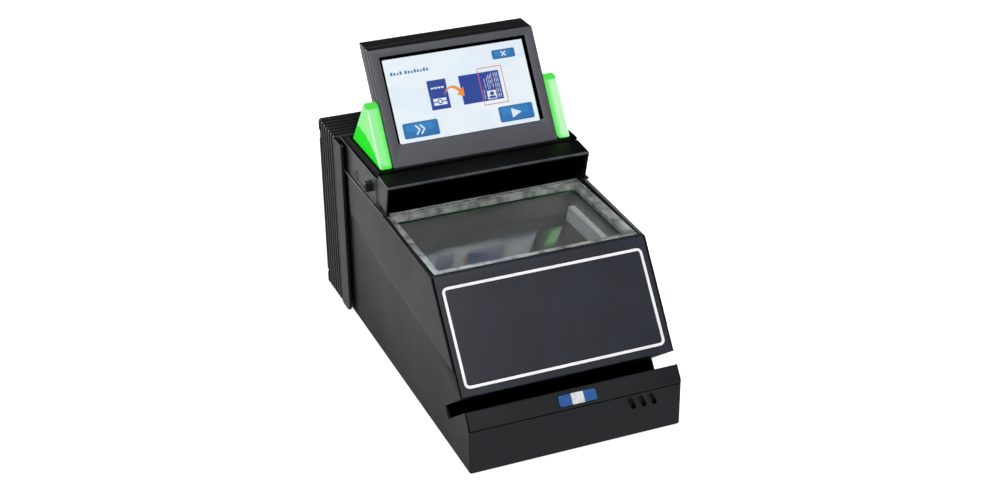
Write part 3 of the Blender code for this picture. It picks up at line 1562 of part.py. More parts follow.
def build_rear_panel():
    wall = RIB_DEPTH + SLEEVE_WALL + GAP
    rear = DEPTH - PANEL_REAR_INSET
    board_top = PLATE_FLOOR + GAP + SPACER_HEIGHT + BOARD
    outline = rectangle(
        SLEEVE_HALF_WIDTH - wall,
        SLEEVE_BOTTOM + FOOT_PROUD + SLEEVE_WALL + GAP,
        SLEEVE_TOP + FOOT_PROUD - wall,
    )
    front_y, rear_y = at(rear - REAR_PANEL, 0)[0], at(rear, 0)[0]
    panel = make("rear_panel", prism(outline, front_y, rear_y, front_place), FINISHES["shell"])
    cuts = []
    for name, middle, width, height, length in socket_rows():
        low = board_top + GAP
        grow = SOCKET_CLEARANCE
        cuts.append(
            box(
                width / 2 + grow,
                (rear - REAR_PANEL - OVERRUN, rear + OVERRUN),
                (low - grow, low + height + grow),
                middle,
            )
        )
        build_socket(name, middle, width, height, length, low, rear + SOCKET_PROUD)
    change(panel, joined(cuts))
    vents = []
    for index in range(VENT_COUNT):
        x = (index - (VENT_COUNT - 1) / 2) * VENT_PITCH
        outline = obround((x, SLEEVE_TOP - VENT_DROP + FOOT_PROUD), VENT_LENGTH, VENT_RADIUS, 0)
        vents.append(prism(outline, front_y - OVERRUN, rear_y + OVERRUN, front_place))
    change(panel, joined(vents))


def build_socket(name, middle, width, height, length, low, rear):
    """A socket shell on the board's rear edge, open to the back."""
    body = box(width / 2, (rear - length, rear), (low, low + height), middle)
    finish = "shell" if name == "power_jack" else "steel"
    socket = make(name, body, FINISHES[finish])
    wall = SKIN
    mouth = box(
        width / 2 - wall,
        (rear - length + 2 * wall, rear + OVERRUN),
        (low + wall, low + height - wall),
        middle,
    )
    change(socket, mouth)


def build():
    clear_scene()
    prepare_finishes()
    build_base_shell()
    build_base_plate()
    build_feet()
    build_base_screws()
    build_front_cover()
    build_front_lip()
    build_swipe_track()
    build_window()
    build_camera()
    build_main_board()
    build_speaker()
    build_hood()
    build_dock()
    build_lights()
    pivot = joint_empty("display_tilt", (0, *hinge_axis()))
    build_display(pivot)
    build_hinges()
    build_power_button()
    build_rear_sleeve()
    build_rear_panel()


build()
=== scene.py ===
"""Looks for the passport reader: materials, screen picture, sockets, lights and camera."""

import math

import bmesh
import bpy
from mathutils import Matrix, Vector

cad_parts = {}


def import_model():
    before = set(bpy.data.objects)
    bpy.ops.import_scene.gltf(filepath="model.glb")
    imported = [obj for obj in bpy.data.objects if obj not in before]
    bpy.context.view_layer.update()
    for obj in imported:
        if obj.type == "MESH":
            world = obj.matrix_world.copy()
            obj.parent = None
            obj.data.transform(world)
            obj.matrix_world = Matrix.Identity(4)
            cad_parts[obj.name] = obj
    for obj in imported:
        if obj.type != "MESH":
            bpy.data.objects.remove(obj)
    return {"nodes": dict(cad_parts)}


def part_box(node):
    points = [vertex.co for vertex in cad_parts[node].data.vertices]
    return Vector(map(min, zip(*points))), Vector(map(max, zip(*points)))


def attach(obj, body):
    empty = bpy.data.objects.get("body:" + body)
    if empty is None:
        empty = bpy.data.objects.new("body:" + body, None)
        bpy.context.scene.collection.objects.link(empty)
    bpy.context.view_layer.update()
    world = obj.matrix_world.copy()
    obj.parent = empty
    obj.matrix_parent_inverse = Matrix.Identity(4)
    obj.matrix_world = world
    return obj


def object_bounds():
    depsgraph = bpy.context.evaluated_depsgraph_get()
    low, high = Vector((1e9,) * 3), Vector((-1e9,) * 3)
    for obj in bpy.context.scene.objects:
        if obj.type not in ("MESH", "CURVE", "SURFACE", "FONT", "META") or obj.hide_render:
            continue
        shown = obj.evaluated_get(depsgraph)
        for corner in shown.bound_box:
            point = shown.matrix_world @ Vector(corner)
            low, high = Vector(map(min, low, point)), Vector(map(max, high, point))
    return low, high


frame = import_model()
NODES = frame["nodes"]
cad_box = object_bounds()
MM = 0.001
SHARP = math.radians(35)


def shade(colour, factor):
    return tuple(min(1.0, channel * factor) for channel in colour)


# Node helpers
class Nodes:
    """A node tree and a few shortcuts for building it."""

    def __init__(self, tree):
        self.tree = tree

    def node(self, kind, settings=None, **inputs):
        made = self.tree.nodes.new(kind)
        for key, value in (settings or {}).items():
            setattr(made, key, value)
        for key, value in inputs.items():
            self.put(made, key.replace("_", " "), value)
        return made

    def put(self, node, key, value):
        """Sets an input, or links it where the value is another node's output."""
        socket = node.inputs[key]
        if isinstance(value, bpy.types.NodeSocket):
            self.tree.links.new(value, socket)
        else:
            socket.default_value = value

    def maths(self, kind, first, second=0.0):
        made = self.node("ShaderNodeMath", {"operation": kind})
        self.put(made, 0, first)
        self.put(made, 1, second)
        return made.outputs[0]

    def product(self, result, *others):
        """Several shares multiplied: 1 where all of them are 1."""
        for other in others:
            result = self.maths("MULTIPLY", result, other)
        return result

    def most(self, result, *others):
        """The largest of several shares."""
        for other in others:
            result = self.maths("MAXIMUM", result, other)
        return result


class Recipe(Nodes):
    """The node tree of a new material. A share in it is a value from 0 to 1."""

    def __init__(self, name):
        self.material = bpy.data.materials.new(name)
        self.material.use_nodes = True
        super().__init__(self.material.node_tree)
        self.shader = self.tree.nodes["Principled BSDF"]

    def surface(self, key, value):
        self.put(self.shader, key, value)

    def place(self):
        return self.node("ShaderNodeTexCoord").outputs["Object"]

    def axes(self):
        """The place on the surface, split into X, Y and Z."""
        return self.node("ShaderNodeSeparateXYZ", Vector=self.place()).outputs

    def noise(self, scale, detail=3.0, rough=0.55, where=None):
        made = self.node("ShaderNodeTexNoise", Scale=scale, Detail=detail, Roughness=rough)
        self.put(made, "Vector", where or self.place())
        return made.outputs["Fac"]

    def spread(self, value, low, high, start=0.3, end=0.7):
        """Runs from low to high while the value runs from start to end."""
        made = self.node("ShaderNodeMapRange", Value=value, From_Min=start, From_Max=end,
                         To_Min=low, To_Max=high)
        return made.outputs["Result"]

    def band(self, value, start, end, soft=0.2 * MM):
        """1 between two values and 0 outside them."""
        rise = self.spread(value, 0.0, 1.0, start - soft, start + soft)
        fall = self.spread(value, 1.0, 0.0, end - soft, end + soft)
        return self.product(rise, fall)

    def blend(self, share, first, second):
        """Goes from the first colour to the second as the share rises."""
        made = self.node("ShaderNodeMix", {"data_type": "RGBA"})
        self.put(made, 0, share)
        # The node's colours are its inputs 6 and 7 and its output 2.
        for key, given in ((6, first), (7, second)):
            self.put(made, key, given if isinstance(given, bpy.types.NodeSocket) else (*given, 1.0))
        return made.outputs[2]

    def shaded(self, value, colour, first, second):
        """A colour that goes from one shade of itself to another with a value."""
        return self.blend(self.spread(value, 0.0, 1.0), shade(colour, first), shade(colour, second))

    def along(self, first, second):
        """How far the first direction or place goes along the second."""
        made = self.node("ShaderNodeVectorMath", {"operation": "DOT_PRODUCT"})
        self.put(made, 0, first)
        self.put(made, 1, second)
        return made.outputs["Value"]

    def facing(self, way, start, end):
        """1 where the surface faces a direction of its own body, 0 where it turns from it."""
        own = self.node("ShaderNodeTexCoord").outputs["Normal"]
        return self.spread(self.along(own, way), 0.0, 1.0, start, end)

    def rounded(self, reach):
        """The normal as it would be with edges rounded off."""
        return self.node("ShaderNodeBevel", {"samples": 4}, Radius=reach).outputs["Normal"]

    def edges(self, reach):
        """1 along outer edges and 0 on flat ground, from how far a rounded normal turns."""
        flat = self.node("ShaderNodeNewGeometry").outputs["Normal"]
        return self.spread(self.along(self.rounded(reach), flat), 1.0, 0.0, 0.86, 0.995)

    def bump(self, height, depth, strength):
        made = self.node("ShaderNodeBump", Strength=strength, Distance=depth, Height=height)
        return made.outputs["Normal"]


# Finishes
NO_COLOUR = (0.0, 0.0, 0.0)
# Pale grey for painted highlights.
HIGHLIGHT_GREY = (0.12, 0.122, 0.135)
# How far the pale edges reach; they stand partly for use and partly for painted highlight.
EDGE_WEAR_AND_HIGHLIGHT_REACH = 0.5 * MM
FACE_ON = (0.74, 0.84)


def moulded(name, colour, rough, grain=2600.0, depth=0.03 * MM, wear_and_highlight=0.35, pale=2.6, faces=(),
            satin=0.42, matt=None, painted_highlight=None, coarse=None):
    """Moulded plastic: spark-eroded grain, a slow drift in gloss, faint scuffs, and pale patches along
    the edges, partly from use and partly painted highlight.

    faces holds directions, each with the colour of what faces it, where that differs from the rest.
    matt makes the share of each place painted black as shade, such as a seam or the hood's inside.
    The same share is metallic, because black metal reflects next to nothing.
    painted_highlight makes the share of each place painted pale grey as a highlight, and goes with matt.
    coarse makes what is added to the roughness where the mould was coarser.
    """
    made = Recipe(name)
    grain_height = made.noise(grain, 2.0, 0.6)
    drift = made.noise(38.0, 4.0, 0.6)
    smudge = made.noise(11.0, 5.0, 0.65)
    edge_patches = made.noise(260.0, 6.0, 0.75)
    ground = made.shaded(drift, colour, 0.88, 1.14)
    for way, tint in faces:
        ground = made.blend(made.facing(way, *FACE_ON), ground, made.shaded(drift, tint, 0.94, 1.06))
    # Pale patches along the edges, partly from use and partly painted highlight.
    edge_wear_and_highlight = made.product(made.edges(EDGE_WEAR_AND_HIGHLIGHT_REACH), made.spread(edge_patches, 0.15, wear_and_highlight, 0.35, 0.7))
    ground = made.blend(edge_wear_and_highlight, ground, shade(colour, pale))
    # Painted shade is black, and metallic so that it loses its sheen; painted highlight is pale grey.
    if matt:
        share = matt(made)
        ground = made.blend(share, ground, NO_COLOUR)
        if painted_highlight:
            highlight_share = painted_highlight(made)
            ground = made.blend(highlight_share, ground, HIGHLIGHT_GREY)
            share = made.product(share, made.maths("SUBTRACT", 1.0, highlight_share))
        made.surface("Metallic", share)
    made.surface("Base Color", ground)
    made.surface("Specular IOR Level", satin)
    gloss = made.spread(smudge, rough - 0.05, rough + 0.06)
    if coarse:
        gloss = made.maths("ADD", gloss, coarse(made))
    made.surface("Roughness", made.maths("SUBTRACT", gloss, made.product(edge_wear_and_highlight, 0.12)))
    made.surface("Normal", made.bump(grain_height, depth, 0.55))
    return made.material


def sheet_metal(name, colour, rough, scale, depth, streak=(1.0, 1.0, 1.0)):
    """Metal or foil with rolling marks and patchy gloss."""
    made = Recipe(name)
    stretch = made.node("ShaderNodeMapping", Vector=made.place(), Scale=streak)
    marks = made.noise(scale, 5.0, 0.65, stretch.outputs["Vector"])
    patch = made.noise(scale / 8, 3.0, 0.6)
    made.surface("Metallic", 1.0)
    made.surface("Base Color", made.shaded(patch, colour, 0.8, 1.0))
    made.surface("Roughness", made.spread(marks, rough - 0.08, rough + 0.12))
    made.surface("Normal", made.bump(marks, depth, 0.6))
    return made.material


GREEN_DEEP = (0.003, 0.8, 0.004)
GREEN_FACE = (0.15, 0.9, 0.15)
GREEN_CAP = (0.09, 0.8, 0.09)
GREEN_RIDGE = (0.95, 1.0, 0.95)
GREEN_GLOW = 0.93


def glowing(name, wedge, pale):
    """Translucent plastic lit from inside, for the wedge beside each end of the display.

    The lamp stands low behind, so the colour is deep there and paler further up and outwards.
    """
    low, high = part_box(wedge)
    side = 1.0 if low.x + high.x > 0 else -1.0
    inner = min(abs(low.x), abs(high.x))
    made = Recipe(name)
    place = made.axes()
    rise = made.spread(place["Z"], 0.0, 1.0, low.z, high.z)
    depth = made.spread(place["Y"], 0.0, 1.0, low.y, high.y)
    away = made.product(place["X"], side)
    tone = made.blend(made.spread(away, 0.0, 1.0, inner + 0.8 * MM, inner + 3.4 * MM), GREEN_FACE, pale)
    stretch = made.node("ShaderNodeMapping", Vector=made.place(), Scale=(1.0, 0.12, 0.12))
    streaks = made.noise(900.0, 3.0, 0.6, stretch.outputs["Vector"])
    tone = made.blend(made.spread(streaks, 0.0, 0.35, 0.5, 0.75), tone, GREEN_FACE)

    short = made.spread(depth, 1.0, 0.0, 0.0, 0.55)
    reach = made.maths("SUBTRACT", 0.4, made.product(short, short, 0.4))
    wave = made.spread(made.noise(70.0, 2.0), -0.03, 0.05)
    lift = made.maths("SUBTRACT", made.maths("ADD", rise, wave), reach)
    tone = made.blend(made.spread(lift, 1.0, 0.0, 0.0, 0.05), tone, GREEN_DEEP)
    tone = made.blend(made.spread(rise, 0.0, 1.0, 0.93, 0.95), tone, GREEN_CAP)

    # A whitish line along the ridge between the outer side and the front: the pipe's glow there, with a
    # painted highlight.
    turned = made.node("ShaderNodeSeparateXYZ", Vector=made.rounded(1.3 * MM)).outputs
    outwards = made.spread(made.product(turned["X"], side), 0.0, 1.0, 0.2, 0.5)
    ahead = made.spread(turned["Y"], 0.0, 1.0, -0.2, -0.45)
    over_foot = made.spread(rise, 0.0, 1.0, 0.0, 0.05)
    under_cap = made.spread(rise, 1.0, 0.0, 0.9, 0.94)
    tone = made.blend(made.product(outwards, ahead, over_foot, under_cap), tone, GREEN_RIDGE)

    made.surface("Base Color", made.blend(0.97, tone, NO_COLOUR))
    made.surface("Specular IOR Level", 0.1)
    made.surface("Emission Color", tone)
    made.surface("Emission Strength", GREEN_GLOW)
    made.surface("Roughness", made.spread(made.noise(700.0, 2.0), 0.6, 0.7))
    made.surface("Normal", made.bump(made.noise(1400.0, 2.0), 0.01 * MM, 0.4))
    return made.material


def satin_lens(name, colour):
    """A small unlit window of tinted plastic, with a faint mottle."""
    made = Recipe(name)
    mottle = made.noise(420.0, 3.0, 0.6)
    made.surface("Base Color", made.shaded(mottle, colour, 0.86, 1.1))
    made.surface("Roughness", made.spread(made.noise(700.0, 2.0), 0.28, 0.38))
    made.surface("Normal", made.bump(mottle, 0.02 * MM, 0.4))
    return made.material


def crumpled(name, dark, light, rough):
    """Shiny tape over edges: crumpled, with bright and dull flecks."""
    made = Recipe(name)
    warp = made.noise(95.0, 1.0)
    folds = made.node("ShaderNodeTexVoronoi", {"feature": "DISTANCE_TO_EDGE"}, Scale=190.0,
                      Vector=made.place()).outputs["Distance"]
    height = made.maths("ADD", made.spread(folds, 0.0, 1.0, 0.0, 0.35), warp)
    flecks = made.spread(made.noise(130.0, 2.0, 0.5), 0.0, 1.0, 0.36, 0.62)
    made.surface("Base Color", made.blend(flecks, dark, light))
    made.surface("Metallic", 0.25)
    made.surface("Roughness", made.spread(folds, rough - 0.1, rough + 0.15))
    made.surface("Normal", made.bump(height, 0.25 * MM, 0.8))
    return made.material


def pane(name, tint, rough, smear=0.04):
    """Clear glass with the least of finger smears in its gloss."""
    made = Recipe(name)
    smears = made.noise(55.0, 6.0, 0.7)
    made.surface("Base Color", made.shaded(smears, tint, 1.0, 0.985))
    made.surface("Transmission Weight", 1.0)
    made.surface("IOR", 1.46)
    made.surface("Roughness", made.spread(smears, rough, rough + smear, 0.45, 0.8))
    return made.material


PIXELS_PER_METRE = 5200.0


def picture(name, colour, glow=1.0):
    """A colour on the screen: it shines by itself, with the faint grid of the pixels."""
    made = Recipe(name)
    place = made.axes()
    cells = []
    for axis in ("X", "Z"):
        step = made.maths("FRACT", made.product(place[axis], PIXELS_PER_METRE))
        cells.append(made.spread(step, 1.0, 0.0, 0.0, 0.16))
    grid = made.product(made.most(*cells), 0.05)
    tone = made.blend(grid, colour, shade(colour, 0.4))
    even = made.spread(made.noise(22.0, 2.0), 0.0, 1.0)
    tone = made.blend(even, tone, shade(colour, 0.975))
    made.surface("Base Color", (0.02, 0.02, 0.02, 1.0))
    made.surface("Emission Color", tone)
    made.surface("Emission Strength", glow)
    made.surface("Roughness", made.spread(made.noise(400.0), 0.3, 0.42))
    return made.material


def circuit(name, colour):
    """Printed circuit: solder resist over copper runs."""
    made = Recipe(name)
    runs = made.node("ShaderNodeTexBrick", Scale=130.0, Mortar_Size=0.04, Vector=made.place())
    for key, factor in (("Color1", 1.0), ("Color2", 1.35), ("Mortar", 2.2)):
        made.put(runs, key, (*shade(colour, factor), 1.0))
    made.surface("Base Color", runs.outputs["Color"])
    made.surface("Roughness", made.spread(made.noise(300.0), 0.3, 0.45))
    made.surface("Normal", made.bump(runs.outputs["Fac"], 0.03 * MM, 0.5))
    return made.material


# Directions and places on the bodies
UP = (0.0, 0.0, 1.0)
AHEAD = (0.0, -1.0, 0.0)
SIDEWAYS = ((1.0, 0.0, 0.0), (-1.0, 0.0, 0.0))

SHELL_LOW, SHELL_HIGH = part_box("base_shell")
SLEEVE_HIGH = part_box("rear_sleeve")[1]
HOOD_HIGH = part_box("hood")[1]
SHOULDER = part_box("dock_cover")[1].z - 5.4 * MM
LIP_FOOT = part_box("front_lip")[0].z
COVER_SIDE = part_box("front_cover")[1].x
RIBS_FRONT = min(v.co.y for v in NODES["rear_sleeve"].data.vertices if v.co.z > SLEEVE_HIGH.z - 0.1 * MM)
ROOF = [v.co for v in NODES["hood"].data.vertices if v.co.z > HOOD_HIGH.z - 3 * MM]
ROOF_EDGE_Y = min(point.y for point in ROOF) + 0.9 * MM
ROOF_EDGE_Z = min(point.z for point in ROOF)

# Each pair is where a share starts to change along an axis and where it has changed, or a band's ends.
ROOF_FRONT = (ROOF_EDGE_Y, ROOF_EDGE_Y + 0.5 * MM)
ROOF_TOP = (ROOF_EDGE_Z - 0.5 * MM, ROOF_EDGE_Z - 0.3 * MM)
DOCK_RIMS = (SHOULDER - 0.3 * MM, SHOULDER)
DOCK_EDGES = (65 * MM, 66 * MM)
HOOD_GROOVE = (HOOD_HIGH.y + 4.1 * MM, HOOD_HIGH.y + 6.1 * MM)
RECESS_INSIDE = (SHELL_HIGH.x - 0.6 * MM, SHELL_HIGH.x - 0.3 * MM)
RECESS_STEP = (SHELL_HIGH.x - 0.95 * MM, SHELL_HIGH.x - 0.35 * MM)
RECESS_HEIGHTS = (2 * MM, 88 * MM)
SLOTS_DEPTH = (SHELL_LOW.y + 0.25 * MM, SHELL_LOW.y + 6 * MM)
SLOTS_ACROSS = (32 * MM, 54 * MM)
SLOTS_TOP = (LIP_FOOT - 1 * MM, LIP_FOOT - 0.8 * MM)
FRONT_WALL = (SHELL_LOW.y + 1 * MM, SHELL_LOW.y + 1.5 * MM)
FRONT_SEAM = (LIP_FOOT - 0.5 * MM, LIP_FOOT - 0.45 * MM)
FRONT_FOOT = (SHELL_LOW.z + 0.6 * MM, SHELL_LOW.z + 0.8 * MM)
HIGHLIGHT_SIDE = (SHELL_HIGH.x - 4.4 * MM, SHELL_HIGH.x - 3.9 * MM)
HIGHLIGHT_TOP = (SHELL_HIGH.z - 9 * MM, SHELL_HIGH.z - 8 * MM)
COVER_SEAM = (COVER_SIDE - 0.5 * MM, COVER_SIDE - 0.4 * MM)
LIP_SEAM = (LIP_FOOT + 0.35 * MM, LIP_FOOT + 0.45 * MM)
RIB_CRESTS = (SLEEVE_HIGH.z - 0.5 * MM, SLEEVE_HIGH.z - 0.3 * MM)
RIB_SIDES = (SLEEVE_HIGH.z - 2.4 * MM, SLEEVE_HIGH.z - 1.6 * MM)
RIB_FLOORS = (SLEEVE_HIGH.x - 0.7 * MM, SLEEVE_HIGH.x - 0.5 * MM)
RIBS_START = (RIBS_FRONT - 0.2 * MM, RIBS_FRONT)


def display_ways():
    """The direction in which the display's flat front looks, and the one in which it rises."""
    leaning = (face for face in NODES["lcd_panel"].data.polygons if face.normal.y < -0.3)
    out = max(leaning, key=lambda face: face.area).normal.copy()
    rise = Vector((0.0, out.z, -out.y)).normalized()
    return out, rise if rise.z > 0 else -rise


OUT, RISE = display_ways()


def display_opening():
    """The opening in the bezel's front: its half width, and its foot and head along the rise."""
    margin = 4 * MM
    points = [v.co for v in NODES["display_bezel"].data.vertices]
    front = max(point.dot(OUT) for point in points)
    level = [point for point in points if point.dot(OUT) > front - 0.1 * MM]
    side = max(point.x for point in level) - margin
    foot = min(point.dot(RISE) for point in level) + margin
    head = max(point.dot(RISE) for point in level) - margin
    inner = [point for point in level if abs(point.x) < side and foot < point.dot(RISE) < head]
    rises = [point.dot(RISE) for point in inner]
    return max(point.x for point in inner), min(rises), max(rises)


OPENING_SIDE, OPENING_FOOT, OPENING_HEAD = display_opening()


# Shares of a surface
def top_coarse(made):
    """A top has a coarser grain than the sides."""
    return made.product(made.facing(UP, 0.6, 0.9), 0.15)


def hood_painted_shade(made):
    """Painted shade: every face of the hood that faces forward, its inside among them, is painted black,
    and its roof is painted darker than its cheeks.
    """
    front = made.facing(AHEAD, 0.75, 0.95)
    roof = made.product(made.facing(UP, 0.8, 0.95), 0.8)
    return made.most(front, roof)


def hood_painted_highlight(made):
    """A painted highlight: the front edge of the roof is painted grey, broken into patches."""
    place = made.axes()
    front = made.spread(place["Y"], 1.0, 0.0, *ROOF_FRONT)
    upper = made.spread(place["Z"], 0.0, 1.0, *ROOF_TOP)
    highlight_patches = made.spread(made.noise(60.0, 3.0), 0.55, 1.0)
    return made.product(front, upper, highlight_patches)


def dock_painted_shade(made):
    """Painted shade: the rims and the deck are painted near-black, and the groove beside the hood is
    painted black as a shadow line.
    """
    place = made.axes()
    rims = made.spread(place["Z"], 0.0, 0.93, *DOCK_RIMS)
    outer = made.spread(made.maths("ABSOLUTE", place["X"]), 0.0, 0.9, *DOCK_EDGES)
    return made.most(rims, made.product(made.band(place["Y"], *HOOD_GROOVE), outer))


def dock_coarse(made):
    """The rims and the deck have a coarser grain than the dock's sides."""
    return made.spread(made.axes()["Z"], 0.0, 0.35, *DOCK_RIMS)


def recess(made, low, high, step):
    """What holds in the recess of each side wall, from its foot to its top, and on the step round it."""
    place = made.axes()
    far = made.maths("ABSOLUTE", place["X"])
    inside = made.spread(far, 1.0, 0.0, *RECESS_INSIDE)
    ground = made.product(inside, made.spread(place["Z"], low, high, *RECESS_HEIGHTS))
    edge = made.product(made.band(far, *RECESS_STEP, 0.05 * MM), step)
    sideways = made.most(*(made.facing(way, 0.5, 0.65) for way in SIDEWAYS))
    return made.product(made.most(ground, edge), sideways)


def shell_painted_shade(made):
    """Painted shade: the recess in each side wall is painted darker than the band above it, most of all
    low down, and the step round it darker still.

    The insides of the slots, the seam under the lip and the front's foot are painted black, as shade in
    the slots and the seam, and as shadow where the front meets the floor.
    """
    place = made.axes()
    slots = made.product(made.band(place["Y"], *SLOTS_DEPTH),
                         made.band(place["X"], *SLOTS_ACROSS),
                         made.spread(place["Z"], 1.0, 0.0, *SLOTS_TOP))
    near = made.spread(place["Y"], 0.96, 0.0, *FRONT_WALL)
    seam = made.spread(place["Z"], 0.0, 1.0, *FRONT_SEAM)
    foot = made.spread(place["Z"], 1.0, 0.0, *FRONT_FOOT)
    return made.most(recess(made, 0.35, 0.0, 0.6), slots, made.product(made.most(seam, foot), near))


def shell_coarse(made):
    """The recess in each side wall has a coarser grain than the band above it."""
    return recess(made, 0.2, 0.0, 0.25)


def shell_painted_highlight(made):
    """A painted highlight: the top of the right wall is painted grey."""
    place = made.axes()
    right = made.spread(place["X"], 0.0, 0.95, *HIGHLIGHT_SIDE)
    high = made.spread(place["Z"], 0.0, 1.0, *HIGHLIGHT_TOP)
    return made.product(right, high, made.facing(UP, 0.6, 0.8))


def plate_painted_shade(made):
    """Painted shade along each side of a cover, in the seam where it meets the shell."""
    return made.spread(made.maths("ABSOLUTE", made.axes()["X"]), 0.0, 0.96, *COVER_SEAM)


def lip_painted_shade(made):
    """Painted shade on the lip's lower edge and sides, along the seams."""
    return made.most(plate_painted_shade(made), made.spread(made.axes()["Z"], 0.96, 0.0, *LIP_SEAM))


def sleeve_painted_shade(made):
    """Painted shade: the sleeve's top is painted darker than its sides, and the grooves between its ribs
    are painted black.
    """
    place = made.axes()
    top = made.product(made.facing(UP, 0.6, 0.9), made.spread(place["Z"], 0.97, 0.75, *RIB_CRESTS))
    floors = made.spread(made.maths("ABSOLUTE", place["X"]), 0.9, 0.0, *RIB_FLOORS)
    ribbed = made.spread(place["Y"], 0.0, 1.0, *RIBS_START)
    return made.most(top, made.product(floors, ribbed))


def sleeve_painted_highlight(made):
    """A painted highlight on the upright sides of the ribs on top that face forward."""
    high = made.spread(made.axes()["Z"], 0.0, 0.3, *RIB_SIDES)
    return made.product(made.facing(AHEAD, 0.4, 0.7), high)


def bezel_painted_shade(made):
    """Painted shade: the rim of the display's opening is painted black, except below, where it looks up
    to the light.
    """
    far = made.maths("ABSOLUTE", made.axes()["X"])
    beside = made.spread(far, 1.0, 0.0, OPENING_SIDE, OPENING_SIDE + 0.2 * MM)
    risen = made.along(made.place(), RISE)
    above = made.band(risen, OPENING_FOOT + 1.9 * MM, OPENING_HEAD + 0.2 * MM, 0.1 * MM)
    return made.product(beside, above)


# Materials of the nodes
SHELL_BLACK = (0.0042, 0.0042, 0.0048)
DOCK_BLACK = (0.0036, 0.0036, 0.0042)
# The hood's black is darker than the shell's, as painted shade.
HOOD_BLACK = (0.003, 0.003, 0.0036)
FRONT_TINT = (0.004, 0.0045, 0.008)
# The display's plastic is grey on the bezel's front and on the sides, and near-black elsewhere, so that
# its top is painted shade.
BEZEL_TINT = (0.064, 0.067, 0.081)
DISPLAY_SIDES = [(way, (0.06, 0.061, 0.07)) for way in SIDEWAYS]

SHELL = moulded("shell_plastic", SHELL_BLACK, 0.45, satin=0.3)
# Its edges are made paler than most, partly from use and partly as painted highlight.
BASE = moulded("base_plastic", SHELL_BLACK, 0.45, wear_and_highlight=0.7, pale=9.0, faces=[(AHEAD, FRONT_TINT)],
               satin=0.3, matt=shell_painted_shade, painted_highlight=shell_painted_highlight, coarse=shell_coarse)
# Its rib edges are made pale as painted highlight.
SLEEVE = moulded("sleeve_plastic", SHELL_BLACK, 0.45, wear_and_highlight=0.9, pale=14.0,
                 satin=0.3, matt=sleeve_painted_shade, painted_highlight=sleeve_painted_highlight, coarse=top_coarse)
DOCK = moulded("dock_plastic", DOCK_BLACK, 0.4, satin=0.6, matt=dock_painted_shade, coarse=dock_coarse)
HOOD = moulded("hood_plastic", HOOD_BLACK, 0.4,
               satin=0.6, matt=hood_painted_shade, painted_highlight=hood_painted_highlight, coarse=top_coarse)
PLATE = moulded("plate_plastic", (0.0138, 0.0163, 0.0252), 0.42, 3200.0, 0.02 * MM, 0.3, 1.6,
                matt=plate_painted_shade)
LIP = moulded("lip_plastic", (0.0044, 0.005, 0.0074), 0.42, 3200.0, 0.02 * MM, matt=lip_painted_shade)
BEZEL = moulded("bezel_plastic", HOOD_BLACK, 0.42, 3400.0, 0.015 * MM, 0.3, 2.6,
                [(OUT, BEZEL_TINT), *DISPLAY_SIDES], matt=bezel_painted_shade)
BACK = moulded("back_plastic", DOCK_BLACK, 0.42, faces=DISPLAY_SIDES)
RUBBER = moulded("foot_rubber", (0.012, 0.012, 0.012), 0.85, 900.0, 0.05 * MM, 0.1)
WHITE = moulded("guide_white", (0.9, 0.9, 0.91), 0.38, 2600.0, 0.01 * MM, 0.0, 1.0)
LAMP = moulded("lamp_white", (0.82, 0.84, 0.86), 0.4, 900.0, 0.02 * MM, 0.0, 1.0)
STEEL = sheet_metal("plain_steel", (0.62, 0.61, 0.6), 0.3, 900.0, 0.01 * MM, (1.0, 14.0, 1.0))
FOIL = sheet_metal("box_foil", (0.62, 0.62, 0.61), 0.42, 90.0, 0.02 * MM)
TAPE = crumpled("tape_foil", (0.42, 0.42, 0.4), (1.0, 1.0, 0.98), 0.26)
GOLD = sheet_metal("contact_gold", (0.83, 0.6, 0.26), 0.28, 700.0, 0.005 * MM, (1.0, 0.1, 1.0))
BOARD = circuit("circuit_green", (0.01, 0.07, 0.03))
GLASS = pane("scan_glass", (0.93, 0.96, 0.95), 0.0)
TOUCH = pane("touch_glass", (0.97, 0.98, 0.99), 0.0, 0.02)
LENS_BLUE = satin_lens("lens_blue", (0.026, 0.105, 0.32))
LENS_WHITE = satin_lens("lens_white", (0.7, 0.715, 0.75))
BARREL = moulded("lens_black", (0.004, 0.004, 0.005), 0.3)
TONGUE = moulded("tongue_white", (0.6, 0.6, 0.58), 0.45, 2600.0, 0.01 * MM, 0.1, 1.0)
SHADOW = moulded("inner_black", (0.002, 0.002, 0.0022), 0.7)
GREEN_LEFT = glowing("signal_green_left", "signal_light_left", (0.32, 0.95, 0.32))
GREEN_RIGHT = glowing("signal_green_right", "signal_light_right", (0.55, 0.98, 0.55))


def dress(material, *names):
    for name in names:
        for slot in NODES[name].material_slots:
            slot.material = material


dress(BASE, "base_shell")
dress(SLEEVE, "rear_sleeve")
dress(SHELL, "base_plate", "power_button", "rear_panel", "power_switch", "power_jack")
dress(SHADOW, "speaker", "swipe_head", "camera_mount", "board_frame", "lens_holder", "lcd_panel")
dress(DOCK, "dock_cover")
dress(HOOD, "hood")
dress(PLATE, "front_cover")
dress(LIP, "front_lip", "swipe_track")
dress(BEZEL, "display_bezel")
dress(BACK, "display_back")
dress(WHITE, "guide_inlay")
dress(LAMP, "lamp_bar_left", "lamp_bar_right")
dress(GLASS, "scan_glass", "swipe_window")
dress(TOUCH, "touch_glass")
dress(LENS_BLUE, "status_lens_left", "status_lens_right")
dress(LENS_WHITE, "status_lens_middle")
dress(GREEN_LEFT, "signal_light_left")
dress(GREEN_RIGHT, "signal_light_right")
dress(FOIL, "light_box")
dress(TAPE, "glass_frame")
dress(BARREL, "camera_lens")
dress(BOARD, "antenna_board", "main_board", "camera_board", "display_board",
      "signal_board_left", "signal_board_right")
dress(STEEL, "hinge_pin_left", "hinge_pin_right", "network_socket", "usb_socket_a",
      "usb_socket_b", *(name for name in NODES if name.startswith("screw_")))
